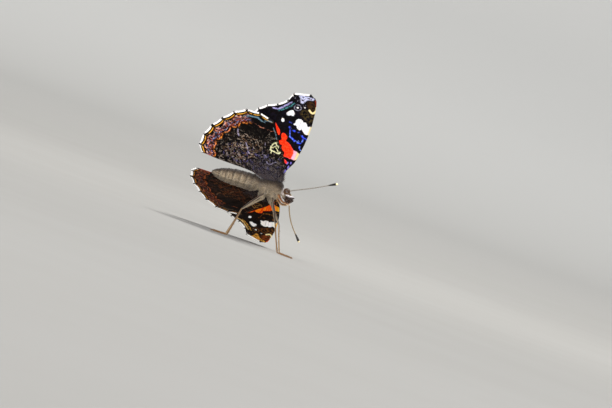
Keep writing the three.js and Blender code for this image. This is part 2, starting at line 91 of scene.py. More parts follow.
class Finish:
    """One procedural material, painted in layers over a ground colour."""

    def __init__(self, name, ground, roughness=0.6, specular=0.3, sheen=0.0):
        self.material = bpy.data.materials.new(name)
        self.material.use_nodes = True
        self.tree = self.material.node_tree
        self.shader = self.tree.nodes["Principled BSDF"]
        self.set({"Roughness": roughness, "Specular IOR Level": specular})
        self.set({"Sheen Weight": sheen, "Sheen Roughness": 0.5})
        self.colour = self.rgb(ground)
        self.normal = None

    def set(self, values):
        for key, value in values.items():
            self.shader.inputs[key].default_value = value

    def add(self, kind, inputs=(), **settings):
        node = self.tree.nodes.new(kind)
        for key, value in settings.items():
            setattr(node, key, value)
        for key, value in dict(inputs).items():
            if isinstance(value, bpy.types.NodeSocket):
                self.tree.links.new(value, node.inputs[key])
            else:
                node.inputs[key].default_value = value
        return node

    def rgb(self, colour):
        if isinstance(colour, bpy.types.NodeSocket):
            return colour
        node = self.add("ShaderNodeRGB")
        node.outputs[0].default_value = (*rgb(colour), 1)
        return node.outputs[0]

    def field(self, name):
        """A number that the mesh carries at each point."""
        return self.add("ShaderNodeAttribute", attribute_name=name).outputs["Fac"]

    def place(self, name):
        """A vector that the mesh carries at each point."""
        return self.add("ShaderNodeAttribute", attribute_name=name).outputs["Vector"]

    def spot(self):
        return self.add("ShaderNodeTexCoord").outputs["Object"]

    def stretch(self, vector, scale):
        return self.add("ShaderNodeMapping", {"Vector": vector, "Scale": scale}).outputs[0]

    def noise(self, vector, scale, detail=3, rough=0.6, warp=0.0):
        inputs = {"Vector": vector, "Scale": scale, "Detail": detail, "Roughness": rough}
        return self.add("ShaderNodeTexNoise", {**inputs, "Distortion": warp}).outputs[0]

    def cells(self, vector, scale):
        return self.add("ShaderNodeTexVoronoi", {"Vector": vector, "Scale": scale}).outputs["Distance"]

    def maths(self, operation, a, b=0.0, c=0.0):
        return self.add("ShaderNodeMath", {0: a, 1: b, 2: c}, operation=operation).outputs[0]

    def ramp(self, value, low, high, to_low=0.0, to_high=1.0):
        """A smooth step from to_low at low to to_high at high."""
        inputs = {0: value, 1: low, 2: high, 3: to_low, 4: to_high}
        return self.add("ShaderNodeMapRange", inputs, interpolation_type="SMOOTHSTEP").outputs[0]

    def band(self, value, centre, half, soft):
        """One near centre, and zero further than half away."""
        away = self.maths("ABSOLUTE", self.maths("SUBTRACT", value, centre))
        return self.ramp(away, half - soft, half + soft, 1.0, 0.0)

    def both(self, *masks):
        """Where all masks hold: their product. A mask may be a plain number."""
        return functools.reduce(lambda a, b: self.maths("MULTIPLY", a, b), masks)

    def where(self, name, *limits):
        """A smooth step by a number that the mesh carries."""
        return self.ramp(self.field(name), *limits)

    def mix(self, below, above, *masks):
        inputs = {0: self.both(*masks), 6: self.rgb(below), 7: self.rgb(above)}
        return self.add("ShaderNodeMix", inputs, data_type="RGBA").outputs[2]

    def layer(self, colour, *masks):
        self.colour = self.mix(self.colour, colour, *masks)

    def shade(self, tone):
        self.colour = self.add("ShaderNodeHueSaturation", {"Color": self.colour, "Value": tone}).outputs[0]

    def shade_hair(self, hair, tip):
        """Vary the tone from hair to hair and towards the tip, each by [range, least]."""
        tone = self.maths("MULTIPLY_ADD", self.field("hair"), *hair)
        self.shade(self.both(tone, self.maths("MULTIPLY_ADD", self.field("tip"), *tip)))

    def bump(self, height, distance, strength=1.0):
        inputs = {"Height": height, "Distance": distance, "Strength": strength}
        if self.normal is not None:
            inputs["Normal"] = self.normal
        self.normal = self.add("ShaderNodeBump", inputs).outputs[0]

    def done(self):
        self.tree.links.new(self.colour, self.shader.inputs["Base Color"])
        if self.normal is not None:
            self.tree.links.new(self.normal, self.shader.inputs["Normal"])
        return self.material


# Meshes


def added(name, data):
    """A new object of the scene."""
    piece = bpy.data.objects.new(name, data)
    bpy.context.scene.collection.objects.link(piece)
    return piece


def make(name, points, faces, materials, fields=None, vectors=None, uv=None, which=None, smooth=True):
    """A mesh object from points in metres and its faces, with the fields and UV map it carries."""
    mesh = bpy.data.meshes.new(name)
    mesh.from_pydata(np.asarray(points).tolist(), [], faces)
    for material in materials:
        mesh.materials.append(material)
    for key, values in (fields or {}).items():
        layer = mesh.attributes.new(key, "FLOAT", "POINT")
        layer.data.foreach_set("value", np.asarray(values, np.float32))
    for key, values in (vectors or {}).items():
        layer = mesh.attributes.new(key, "FLOAT_VECTOR", "POINT")
        layer.data.foreach_set("vector", np.asarray(values, np.float32).ravel())
    if uv is not None:
        corners = np.zeros(len(mesh.loops), np.int32)
        mesh.loops.foreach_get("vertex_index", corners)
        layer = mesh.uv_layers.new(name="OFBake")
        layer.data.foreach_set("uv", np.asarray(uv, np.float32)[corners].ravel())
    if which is not None:
        mesh.polygons.foreach_set("material_index", np.asarray(which, np.int32))
    mesh.polygons.foreach_set("use_smooth", [smooth] * len(mesh.polygons))
    mesh.update()
    return added(name, mesh)


def unit(vectors):
    """Vectors, or one vector, at length one."""
    return vectors / np.maximum(np.linalg.norm(vectors, axis=-1, keepdims=True), 1e-9)


def catmull_rom(points, t):
    """The centripetal curve through points at t from 0 to 1, each span an equal share of t."""
    points = np.asarray(points, float)
    spans = len(points) - 1
    padded = np.vstack([2 * points[0] - points[1], points, 2 * points[-1] - points[-2]])
    t = np.atleast_1d(np.asarray(t, float))
    span = np.clip((t * spans).astype(int), 0, spans - 1)
    w = (t * spans - span)[:, None]
    p0, p1, p2, p3 = (padded[span + k] for k in range(4))
    d0, d1, d2 = (
        np.maximum(np.linalg.norm(b - a, axis=1, keepdims=True) ** 0.5, 1e-4)
        for a, b in ((p0, p1), (p1, p2), (p2, p3))
    )
    m1 = ((p1 - p0) / d0 - (p2 - p0) / (d0 + d1) + (p2 - p1) / d1) * d1
    m2 = ((p2 - p1) / d1 - (p3 - p1) / (d1 + d2) + (p3 - p2) / d2) * d1
    c2 = -3 * p1 + 3 * p2 - 2 * m1 - m2
    c3 = 2 * p1 - 2 * p2 + m1 + m2
    return p1 + m1 * w + c2 * w**2 + c3 * w**3


def smoothstep(value, low, high):
    share = np.clip((value - low) / (high - low), 0, 1)
    return share * share * (3 - 2 * share)


def from_line(points, line, closed=False):
    """Each point's distance from a polyline."""
    ends = np.roll(line, -1, axis=0) if closed else line[1:]
    best = np.full(len(points), np.inf)
    for a, b in zip(line, ends):
        along = b - a
        share = np.clip(((points - a) @ along) / max(along @ along, 1e-12), 0, 1)
        best = np.minimum(best, np.linalg.norm(points - a - share[:, None] * along, axis=1))
    return best


# Wings: each vein is five points [forward, outward] from the root to the margin, costa first, and how far
# the margin curves in before the next vein. A vein named in starts begins at that share of its way. The
# fringe begins at the vein numbered fringe_from, and its white at pale_from.

FOREWING = {
    "drop": 0.0,
    "fringe_from": 5,
    "pale_from": 5.1,
    "veins": {
        "costa": ([(0.6, 0), (0.8, 4.0), (2.2, 7.6), (2.75, 11.0), (3.15, 14.2)], 0),
        "subcosta": ([(0.4, 0), (0.5, 4.4), (1.7, 8.6), (2.5, 12.8), (3.35, 17.4)], 0),
        "radius_1": ([(0.22, 0), (0.15, 5.0), (1.15, 10.0), (2.05, 15.0), (3.4, 20.6)], 0),
        "radius_3": ([(0.05, 0), (-0.15, 5.4), (0.75, 11.2), (1.75, 17.4), (3.05, 25.4)], -0.25),
        "radial": ([(-0.1, 0), (-0.5, 5.6), (0.3, 12.0), (1.0, 19.5), (2.35, 29.2)], -0.3),
        "radius_5": ([(-0.25, 0), (-0.8, 5.7), (-0.15, 12.4), (0.2, 20.4), (0.5, 30.9)], 0),
        "media_1": ([(-0.45, 0), (-1.15, 5.8), (-0.8, 12.7), (-1.7, 20.6), (-4.1, 29.45)], 0.25),
        "media_2": ([(-0.7, 0), (-1.6, 5.9), (-1.9, 12.8), (-3.4, 19.8), (-5.0, 26.6)], 0.35),
        "media_3": ([(-0.95, 0), (-2.1, 5.9), (-3.1, 12.5), (-5.1, 18.6), (-7.3, 24.2)], 0.35),
        "cubital": ([(-1.2, 0), (-2.6, 5.8), (-4.3, 12.0), (-6.9, 17.4), (-9.8, 22.8)], 0.4),
        "cubitus_2": ([(-1.5, 0), (-3.1, 5.3), (-5.7, 9.9), (-8.7, 15.2), (-11.9, 20.7)], 0.35),
        "anal": ([(-1.9, 0), (-4.3, 4.3), (-7.3, 8.3), (-10.2, 12.6), (-13.1, 17.6)], 0),
        "inner": ([(-2.3, 0), (-5.3, 3.6), (-8.7, 7.5), (-11.6, 11.6), (-13.5, 15.7)], 0),
    },
    "starts": {
        "radius_3": 0.5,
        "radius_5": 0.7,
        "media_1": 0.5,
        "media_2": 0.5,
        "media_3": 0.5,
        "cubitus_2": 0.3,
    },
}

HINDWING = {
    "drop": HINDWING_DROP,
    "fringe_from": 1,
    "pale_from": 1.35,
    "veins": {
        "costa": ([(-1.3, 0), (0.3, 4.2), (-1.0, 8.6), (-3.2, 12.2), (-5.4, 16.0)], -0.2),
        "subcosta": ([(-1.65, 0), (-1.0, 4.6), (-2.6, 9.6), (-4.8, 14.4), (-7.1, 19.0)], 0.3),
        "radial": ([(-2.0, 0), (-2.6, 5.0), (-5.0, 10.0), (-7.9, 15.2), (-11.0, 20.0)], 0.45),
        "media_1": ([(-2.35, 0), (-3.8, 5.2), (-7.2, 9.8), (-10.8, 14.6), (-14.7, 19.6)], 0.45),
        "media_2": ([(-2.7, 0), (-5.0, 5.0), (-9.0, 9.0), (-13.2, 13.2), (-17.8, 17.4)], 0.45),
        "media_3": ([(-3.05, 0), (-6.1, 4.6), (-10.7, 8.0), (-15.2, 11.1), (-20.3, 14.2)], 0.45),
        "cubital": ([(-3.4, 0), (-6.9, 4.0), (-11.8, 6.7), (-16.8, 8.8), (-22.4, 10.8)], 0.45),
        "cubitus_2": ([(-3.75, 0), (-7.4, 3.2), (-12.6, 5.1), (-17.9, 6.3), (-23.8, 7.1)], 0.4),
        "anal": ([(-4.1, 0), (-7.8, 2.2), (-13.0, 3.0), (-18.2, 3.4), (-24.0, 3.5)], 0.1),
        "inner": ([(-4.5, 0), (-8.2, 0.9), (-13.4, 1.0), (-18.2, 1.0), (-22.6, 1.3)], 0),
    },
    "starts": {"media_1": 0.5, "media_2": 0.5, "media_3": 0.5, "cubitus_2": 0.3},
}

WING_ROWS = 96
ROW_CROWDING = 0.9  # below one, the rows lie closer together towards the margin
COLUMNS_BETWEEN = 12
MEMBRANE = 0.14  # the dressed wing's thickness, inside the thicker solid
VEIN_RISE = 0.1
VEIN_HALF_WIDTH = 0.16
PLEAT = 0.06  # how far the membrane dips and rises between veins
PLEAT_AT_VEIN = 0.2  # as a share of that
PLEAT_RISE = 0.8  # over this distance from a vein it grows by one share
PLEAT_SPREAD = (0.05, 0.5)  # it begins and is full at these shares of the wing's length
FRINGE_INSET = 0.28
UNDER_FACE_APART = 7  # keeps the under face's noises clear of the upper one's


def wing_lines(shape, rows):
    """The grid of a wing: each row's columns follow the veins, with the fields that the colours need."""
    names = list(shape["veins"])
    paths = [catmull_rom(shape["veins"][name][0], rows) for name in names]
    still = np.zeros(len(rows))
    edge = smoothstep(rows, 0.8, 1.0)
    columns = []  # point, crest, place across the veins and distance from the nearest vein
    for k, name in enumerate(names):
        starts = shape["starts"].get(name, 0.0)
        crest = smoothstep(rows, starts - 0.02, starts + 0.02) if starts else still + 1
        columns.append((paths[k], crest, still + k, still))
        if k == len(names) - 1:
            break
        here, beyond = paths[k], paths[k + 1]
        gap = np.linalg.norm(beyond - here, axis=1)
        foot = np.minimum(0.5 / COLUMNS_BETWEEN, VEIN_HALF_WIDTH / gap)
        for share in [foot, *np.linspace(0, 1, COLUMNS_BETWEEN + 1)[1:-1], 1 - foot]:
            share = still + share
            point = here + (beyond - here) * share[:, None]
            inwards = shape["veins"][name][1] * 4 * share * (1 - share) * edge
            point -= unit(point) * inwards[:, None]
            columns.append((point, still, k + share, gap * np.minimum(share, 1 - share)))
    return [np.stack(part, axis=1) for part in zip(*columns)]


def wing_surface(shape, points):
    """Height of the wing's middle surface over its flat plane."""
    bow = WING_CAMBER * np.sin(np.pi * np.clip(points[..., 1] / WING_SPAN, 0, 1))
    return bow - shape["drop"]


def wing_to_body(points, height, sign):
    """Points of a wing's plane, with heights over it, in the body's frame."""
    forward, outward = points[..., 0], points[..., 1]
    cos, sin = math.cos(WING_RAISE), math.sin(WING_RAISE)
    left = sign * (HINGE_ACROSS + outward * cos - height * sin)
    up = HINGE_UP + outward * sin + height * cos
    return np.stack([forward, left, up], axis=-1).reshape(-1, 3)


def wing_unwrap(flat, face):
    """Millimetres on a wing's upper face, 0, or under face, 1, to its half of the unwrapped picture."""
    return (flat + [25, 0.32]) / [30, 64] + [0, 0.5 * face]


def margin_column(shape, columns):
    """The grid column where a wing's fringed margin begins."""
    return min(shape["fringe_from"] * (COLUMNS_BETWEEN + 2), columns - 2)


def wing(name, shape, sign, marks, finishes):
    """A closed, thin wing with its veins raised on both faces. finishes are its upper and under material."""
    rows = np.linspace(0.0, 1.0, WING_ROWS) ** ROW_CROWDING
    grid, crest, across, beside = wing_lines(shape, rows)
    last = len(shape["veins"]) - 1
    fringed = (across[-1] >= shape["fringe_from"] - 0.5) & (across[-1] < last)
    inset = np.where(fringed, FRINGE_INSET / np.maximum(np.linalg.norm(grid[-1], axis=1), 1), 0.0)
    edge = smoothstep(rows, 0.5, 1.0)[:, None]
    grid = grid * (1 - inset[None, :] * edge)[:, :, None]

    fold = np.sin(np.pi * (across % 1)) * np.where(across.astype(int) % 2, 1, -1)
    spread = smoothstep(rows, *PLEAT_SPREAD)[:, None] * (1 - 0.5 * edge)
    near = np.minimum(1, beside / PLEAT_RISE + PLEAT_AT_VEIN)
    middle = wing_surface(shape, grid) + PLEAT * fold * spread * near
    thick = MEMBRANE / 2 + crest * VEIN_RISE
    faces_at = [body_to_part(wing_to_body(grid, middle + side * thick, sign)) for side in (1, -1)]

    rows_n, cols_n = grid.shape[:2]
    count = rows_n * cols_n
    index = np.arange(count).reshape(rows_n, cols_n)
    top = np.stack([index[:-1, :-1], index[1:, :-1], index[1:, 1:], index[:-1, 1:]], -1).reshape(-1, 4)
    under = top[:, ::-1] + count
    rim = np.concatenate([index[0, :-1], index[:-1, -1], index[-1, :0:-1], index[:0:-1, 0]])
    after = np.roll(rim, -1)
    walls = np.stack([rim + count, after + count, after, rim], -1)
    faces = np.vstack([top, under, walls])[:, ::sign]

    flat = grid.reshape(-1, 2)
    fields = {
        "edge": from_line(flat, grid[-1, margin_column(shape, cols_n) :]),
        "vein": np.where(crest > 0.5, 0, beside).ravel(),
        "across": across.ravel(),
        "reach": np.repeat(rows, cols_n),
        "forward": flat[:, 0],
    }
    for key, shapes in marks.items():
        fields[key] = np.maximum.reduce([inside(flat) for inside in shapes])
    mm = np.column_stack([flat, np.zeros(count)])
    piece = make(
        name,
        np.vstack(faces_at),
        faces.tolist(),
        finishes,
        fields={key: np.tile(values, 2) for key, values in fields.items()},
        vectors={"mm": np.vstack([mm, mm + [0, 0, UNDER_FACE_APART]])},
        uv=np.vstack([wing_unwrap(flat, 0), wing_unwrap(flat, 1)]),
        which=np.repeat([0, 1, 0], [len(top), len(under), len(walls)]),
    )
    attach(piece, "root")
    return piece


# Marks on a wing: each says how far inside a drawn shape a point lies, in millimetres

BLOB_STEPS = 6  # points from one corner of a blob to the next
STROKE_STEPS = 5  # points for each of a stroke's own


def blob(*corners):
    """Inside a smooth closed outline through the corners."""
    before, here, after, beyond = (np.roll(corners, shift, axis=0)[:, None] for shift in (1, 0, -1, -2))
    w = (np.arange(BLOB_STEPS) / BLOB_STEPS)[None, :, None]
    square = (2 * before - 5 * here + 4 * after - beyond) * w**2
    cube = (3 * here - before - 3 * after + beyond) * w**3
    outline = (0.5 * (2 * here + (after - before) * w + square + cube)).reshape(-1, 2)

    def inside(points):
        within = np.zeros(len(points), bool)
        for (x0, y0), (x1, y1) in zip(outline, np.roll(outline, -1, axis=0)):
            crosses = (y0 > points[:, 1]) != (y1 > points[:, 1])
            at = x0 + (points[:, 1] - y0) * (x1 - x0) / (y1 - y0 if y1 != y0 else 1e-9)
            within ^= crosses & (points[:, 0] < at)
        return np.where(within, 1, -1) * from_line(points, outline, closed=True)

    return inside


def stroke(half, *line):
    """Inside a line of that half width, drawn smoothly through its points."""
    smooth = catmull_rom(line, np.linspace(0, 1, STROKE_STEPS * len(line)))
    return lambda points: half - from_line(points, smooth)


def disc(centre, radius):
    return lambda points: radius - np.linalg.norm(points - np.asarray(centre), axis=1)


def ring(centre, radius, half):
    """Inside a circle drawn as a line of that half width."""
    return lambda points: half - np.abs(disc(centre, radius)(points))


# Marks of the forewing, in its own millimetres [forward, outward]

FOREWING_MARKS = {
    "red": [
        blob(
            (-2.0, 13.5), (-1.5, 13.3), (-0.9, 13.0), (-0.3, 12.5), (0.3, 11.9), (1.0, 11.1),
            (1.35, 10.4), (1.3, 9.3), (0.8, 8.3), (0.0, 8.4), (-0.9, 8.35), (-1.9, 8.25), (-1.25, 8.9),
            (-1.3, 9.7), (-1.9, 10.15), (-2.45, 10.8), (-2.45, 11.6), (-3.1, 11.8), (-3.7, 12.3),
            (-3.6, 12.9), (-3.15, 13.4), (-3.55, 14.5), (-3.6, 15.2), (-3.2, 15.65), (-2.5, 15.4),
            (-1.95, 14.9), (-1.85, 14.2),
        ),
        blob(
            (-4.3, 14.5), (-4.1, 15.2), (-4.5, 16.2), (-5.3, 17.1), (-6.2, 18.1), (-5.8, 17.0),
            (-5.0, 15.4),
        ),
        blob((-1.45, 7.2), (-0.7, 7.6), (-0.1, 7.3), (0.35, 6.9), (0.1, 6.4), (-0.6, 6.85)),
    ],
    "red_above": [
        blob(
            (1.7, 10.9), (1.2, 11.9), (0.2, 12.9), (-0.4, 13.7), (-1.4, 14.5), (-1.9, 15.3), (-3.3, 15.9),
            (-3.9, 16.7), (-5.4, 17.4), (-6.5, 18.3), (-8.2, 18.6), (-9.6, 19.2), (-11.0, 18.9),
            (-12.2, 18.3), (-12.0, 17.3), (-10.6, 17.5), (-9.2, 17.3), (-8.1, 16.7), (-6.6, 16.3),
            (-5.6, 15.3), (-4.4, 14.3), (-3.9, 13.2), (-2.7, 12.3), (-2.2, 11.2), (-1.0, 10.5),
            (-0.3, 9.7), (0.8, 9.5), (1.5, 9.9),
        ),
    ],
    "white": [
        blob(
            (-1.15, 20.8), (-0.9, 21.5), (-0.2, 21.85), (0.5, 21.7), (0.95, 21.0), (1.1, 20.0),
            (1.0, 18.9), (0.7, 18.35), (0.1, 18.4), (-0.4, 18.9), (-0.6, 19.4), (-1.2, 19.3),
            (-1.5, 19.6), (-1.15, 20.1),
        ),
        blob(
            (0.8, 20.9), (1.35, 21.35), (1.9, 21.0), (2.25, 20.35), (2.7, 20.35), (3.05, 20.7),
            (3.2, 19.2), (3.1, 17.8), (2.6, 17.6), (2.0, 17.85), (1.4, 18.4), (0.85, 19.1),
        ),
        blob(
            (-4.2, 22.4), (-4.1, 21.9), (-3.6, 21.65), (-2.95, 22.05), (-2.2, 22.1), (-2.05, 22.9),
            (-2.4, 23.5), (-2.8, 23.95), (-3.4, 23.6), (-3.9, 22.95),
        ),
        blob((-4.95, 20.1), (-4.5, 20.2), (-4.1, 19.55), (-4.3, 19.05), (-4.85, 19.2)),
        disc((-1.85, 25.2), 0.32),
        disc((-0.05, 26.0), 0.25),
    ],
    "blue": [
        stroke(0.26, (-2.25, 18.2), (-1.6, 17.75), (-0.5, 17.4)),
        stroke(0.12, (-1.85, 17.4), (-1.55, 16.2), (-1.3, 15.4)),
        stroke(0.24, (-1.3, 15.2), (-0.6, 14.9), (0.05, 14.5)),
        stroke(0.3, (0.2, 14.35), (0.75, 14.55), (1.2, 14.65)),
        stroke(0.2, (1.2, 14.05), (1.95, 14.25)),
        stroke(0.27, (1.6, 16.9), (2.2, 16.3), (3.0, 16.1)),
        stroke(0.16, (2.2, 16.0), (2.3, 15.1), (2.0, 14.2)),
        stroke(0.18, (2.05, 13.2), (2.2, 12.5), (2.6, 12.2)),
        stroke(0.14, (0.1, 17.5), (0.85, 17.55)),
        stroke(0.16, (-2.6, 19.75), (-2.1, 19.7)),
    ],
    "red_tip": [
        blob(
            (1.0, 8.5), (1.05, 9.6), (1.1, 10.5), (0.9, 11.3), (1.8, 11.2), (2.8, 10.7), (2.7, 9.2),
            (2.0, 8.4),
        ),
    ],
    "white_tip": [blob((3.0, 17.8), (3.0, 19.0), (3.1, 20.5), (3.9, 20.6), (3.9, 17.9))],
    "frost": [
        blob(
            (-2.6, 29.2), (-1.7, 29.7), (-0.7, 30.0), (0.4, 29.9), (1.6, 30.0), (1.5, 29.3), (0.7, 29.0),
            (0.2, 28.8), (-0.3, 28.3), (-0.7, 27.3), (-1.3, 26.95), (-1.8, 27.6), (-2.0, 28.5),
        ),
    ],
    "pupils": [
        disc((-1.3, 28.1), 0.28),
        stroke(0.12, (-0.1, 29.5), (0.5, 29.2)),
    ],
    "brown": [
        blob(
            (0.0, 28.4), (1.0, 28.9), (1.9, 28.9), (2.5, 27.7), (2.7, 26.4), (1.9, 25.9), (1.0, 26.2),
            (0.3, 27.0),
        ),
    ],
    "olive": [
        blob(
            (-0.8, 23.9), (0.0, 25.2), (1.0, 25.4), (2.0, 24.8), (3.0, 24.2), (3.1, 22.3), (2.3, 21.4),
            (0.9, 22.4),
        ),
    ],
    "gold": [
        stroke(0.3, (1.35, 25.75), (1.75, 25.35), (2.3, 25.05), (2.9, 25.6), (3.1, 26.3), (2.95, 27.3)),
    ],
    "rust_edge": [stroke(0.26, (2.95, 27.4), (2.6, 28.4), (2.1, 29.4))],
    "rings": [
        ring((-1.85, 25.25), 0.95, 0.17),
        stroke(0.12, (-0.5, 26.4), (-0.35, 26.75), (0.1, 26.9)),
        stroke(0.16, (-2.6, 26.9), (-2.3, 27.6)),
        stroke(0.12, (-3.4, 27.9), (-3.2, 28.6)),
    ],
    "teal": [stroke(0.24, (-3.1, 26.2), (-3.6, 25.1), (-4.6, 24.0), (-5.6, 22.9), (-6.4, 22.3))],
    "lilac": [
        stroke(0.25, (-3.9, 26.3), (-4.5, 25.3), (-5.3, 24.4), (-5.9, 23.5), (-6.8, 22.7), (-8.0, 22.45)),
    ],
    "base": [
        stroke(0.26, (0.45, 6.9), (0.4, 6.5)),
        stroke(0.22, (-1.05, 5.3), (-0.7, 5.0), (-0.2, 5.3)),
        stroke(0.2, (1.3, 7.3), (1.35, 6.9)),
        stroke(0.2, (1.05, 5.9), (1.0, 5.2)),
        stroke(0.24, (0.6, 4.3), (0.4, 3.5)),
        stroke(0.18, (-0.1, 3.2), (-0.1, 2.4)),
        disc((0.9, 2.6), 0.16),
    ],
}

# Marks of the hindwing

HINDWING_MARKS = {
    "cream": [
        stroke(0.17, (-3.9, 12.6), (-4.5, 12.1), (-4.95, 11.4), (-5.15, 10.4), (-5.0, 9.6)),
        stroke(0.2, (-5.1, 9.6), (-4.2, 9.4), (-3.3, 9.2), (-2.5, 9.4), (-2.4, 9.8)),
        stroke(0.14, (-4.1, 12.1), (-3.9, 11.4), (-4.3, 10.9), (-4.7, 10.3)),
        stroke(0.13, (-3.8, 10.7), (-3.3, 10.2), (-2.9, 9.6)),
        stroke(0.12, (-3.5, 11.6), (-3.2, 11.0)),
        stroke(0.13, (-4.7, 9.3), (-4.65, 8.5)),
    ],
    "lilac": [
        stroke(0.13, (-4.95, 5.5), (-4.6, 5.0), (-4.1, 4.85), (-3.5, 5.3), (-3.1, 6.0), (-2.3, 6.4)),
        stroke(0.15, (-11.9, 9.0), (-11.3, 7.9), (-10.7, 6.8), (-10.2, 6.0)),
        stroke(0.12, (-6.3, 7.2), (-5.7, 7.1), (-5.4, 6.2)),
        stroke(0.16, (-15.2, 12.4), (-14.9, 11.3), (-14.4, 10.4)),
        stroke(0.1, (-7.0, 11.3), (-6.8, 10.4)),
    ],
    "steel": [
        stroke(0.22, (-14.8, 17.0), (-13.6, 17.7), (-12.0, 18.0), (-10.9, 18.2)),
        stroke(0.2, (-10.9, 18.0), (-9.7, 17.5), (-8.9, 17.3)),
        stroke(0.18, (-9.0, 17.9), (-8.0, 18.3), (-7.0, 18.3)),
        stroke(0.1, (-6.3, 16.7), (-5.5, 15.6), (-4.9, 14.6), (-4.4, 13.4)),
    ],
    "disc": [
        blob(
            (-14.6, 13.6), (-13.6, 16.6), (-10.5, 17.4), (-8.0, 16.6), (-7.4, 13.6), (-9.6, 12.4),
            (-12.6, 12.0),
        ),
    ],
    "brown": [
        blob(
            (-17.2, 5.0), (-14.2, 9.0), (-13.2, 11.2), (-10.4, 12.0), (-8.4, 10.6), (-7.6, 8.0),
            (-8.6, 5.0), (-12.0, 3.4),
        ),
    ],
    "violet": [
        blob((-16.0, 7.4), (-9.0, 8.2), (-3.0, 8.8), (-1.0, 6.0), (-2.4, 1.0), (-9.0, 1.6), (-17.0, 3.4)),
    ],
    "spots": [
        disc((-14.9, 16.4), 0.5),
        disc((-16.9, 14.2), 0.6),
        disc((-18.8, 11.3), 0.62),
        disc((-20.2, 8.2), 0.6),
        disc((-20.8, 5.2), 0.55),
    ],
    "dots": [
        disc((-14.3, 17.2), 0.5),
        disc((-17.0, 14.8), 0.58),
        disc((-19.1, 11.9), 0.6),
        disc((-20.8, 8.5), 0.55),
    ],
    "anal_blue": [
        blob((-22.9, 6.2), (-22.4, 4.6), (-21.6, 3.4), (-22.6, 2.6), (-23.4, 3.4), (-23.3, 5.4)),
    ],
}

# The undersides' colours on the right and on the left, where gold and orange take the place of blue. Both
# wings carry one pattern: the left copy is painted glow of light shining through the wing from behind, warmer
# and brighter, and the right copy's white is painted a little dimmer, as painted shade against the stronger
# light on that side.
UNDER_COLOURS_LIT_BY_SIDE = {
    "black": ("070506", "0b0605"),
    "bloom": ("120e1a", "1c0e08"),
    "base": ("140e2c", "201108"),
    "base_marks": ("7f74cf", "9c6334"),
    "rings": ("8f8fa2", "80502a"),
    "olive": ("4c3f22", "7a4a1a"),
    "brown": ("3c2712", "7c3a10"),
    "frost": ("c6caea", "d9a040"),
    "teal": ("4d8f96", "d8a23a"),
    "lilac": ("b3aee6", "f2cf84"),
    "blue": ("3b55f5", "9a5a22"),
    "blue_glow": ("7fa0ff", "c98a3a"),
    "red": ("ff2a0c", "ff7d06"),
    "red_bright": ("ff4a22", "ff9c1e"),
    "red_rim": ("ff5a6a", "ff3206"),
    "tip": ("f9b7cf", "ff9420"),
    "white": ("eeedf4", "ffffff"),
    "buff": ("e9d6a4", "f9bb28"),
    "gold": ("f8e2a8", "fbe7b4"),
    "rust_edge": ("9a3216", "d9481a"),
    "hind": ("060404", "0d0604"),
    "marble": ("3a2e24", "4a2412"),
    "pale_marble": ("a6978a", "6d4326"),
    "violet_marble": ("6e68a0", "4a2c22"),
    "warm_marble": ("6f5440", "5c3418"),
    "hind_base": ("17112a", "1c0f0a"),
    "rust": ("7c2a12", "6a220c"),
    "salmon": ("e7977a", "9a5230"),
    "pink": ("f0d8d6", "a8785a"),
    "steel": ("5f76a6", "4b3c3a"),
    "orange": ("e5862c", "b45a1a"),
    "gold_line": ("e2a537", "b8761e"),
    "cream": ("e6e3b4", "8a6436"),
    "hind_lilac": ("b5adcf", "6f5440"),
    "steel_arc": ("6d8ea0", "5a4a3c"),
    "thinner": (0.0, 0.1),
    "rim_from": ((-1.6, 0.6), (-9.0, -8.0)),
    "red_veins": (0.0, 0.85),
    "red_grows": (0.0, 0.24),
}

MARGIN_STEP = 3.6  # about how far apart two veins end


class WingFinish(Finish):
    """The scaled skin of a wing's face, painted from the marks that its mesh carries."""

    def __init__(self, name, ground, rough_edge=0.2):
        super().__init__(name, ground, roughness=0.6, specular=0.07)
        self.set({"Subsurface Weight": 0.4, "Subsurface Radius": (1.0, 0.8, 0.6)})
        self.set({"Subsurface Scale": 0.0004})
        self.mm = self.place("mm")
        fine = self.noise(self.mm, 5.0, detail=2)
        self.ragged = self.maths("MULTIPLY_ADD", fine, 2 * rough_edge, -rough_edge)
        phase = self.maths("FRACT", self.field("across"))
        self.beside_vein = self.maths("ABSOLUTE", self.maths("MULTIPLY_ADD", phase, 2.0, -1.0))

    def mark(self, name, soft=0.07, grown=0.0):
        """Inside a mark, with the ragged edge that rows of scales give it."""
        inside = self.maths("ADD", self.field(name), self.ragged)
        return self.ramp(inside, -soft - grown, soft - grown)

    def patches(self, scale, low, high, detail=2.0, warp=0.8, stretch=(1, 1, 1)):
        return self.ramp(self.noise(self.stretch(self.mm, stretch), scale, detail, 0.55, warp), low, high)

    def contours(self, scale, half):
        """Fine bent lines, where a noise passes its middle value."""
        return self.band(self.noise(self.mm, scale, 4.0, 0.55, 0.6), 0.5, half, half * 0.7)

    def along_margin(self, scale, low, high, along=0.5, detail=2.0):
        """Patches that are drawn out along the wing's margin."""
        inputs = {0: self.both(self.field("across"), MARGIN_STEP * along), 1: self.field("edge")}
        spot = self.add("ShaderNodeCombineXYZ", inputs).outputs[0]
        return self.ramp(self.noise(spot, scale, detail), low, high)

    def band_at(self, distance, half, soft, wave=0.0):
        """A band at a distance inside the margin, bent inwards by wave between the veins."""
        bent = self.maths("MULTIPLY_ADD", self.beside_vein, wave, self.field("edge"))
        return self.band(self.maths("ADD", bent, self.ragged), distance + wave, half, soft)

    def scaled(self):
        """The fine rows of scales over the colours."""
        scales = self.cells(self.stretch(self.mm, (9.0, 5.5, 1.0)), 1.0)
        self.bump(scales, 0.00002, 0.5)
        self.bump(self.noise(self.mm, 1.4, 4), 0.00005, 0.3)
        self.shade(self.ramp(scales, 0.1, 0.7, 1.05, 0.9))
        return self.done()


# One side's copy of the underside colours: the left copy carries painted glow of light from behind, and the
# right copy's white carries painted shade.
def under_colours_lit_by_side(side):
    return {key: pair[side == "l"] for key, pair in UNDER_COLOURS_LIT_BY_SIDE.items()}


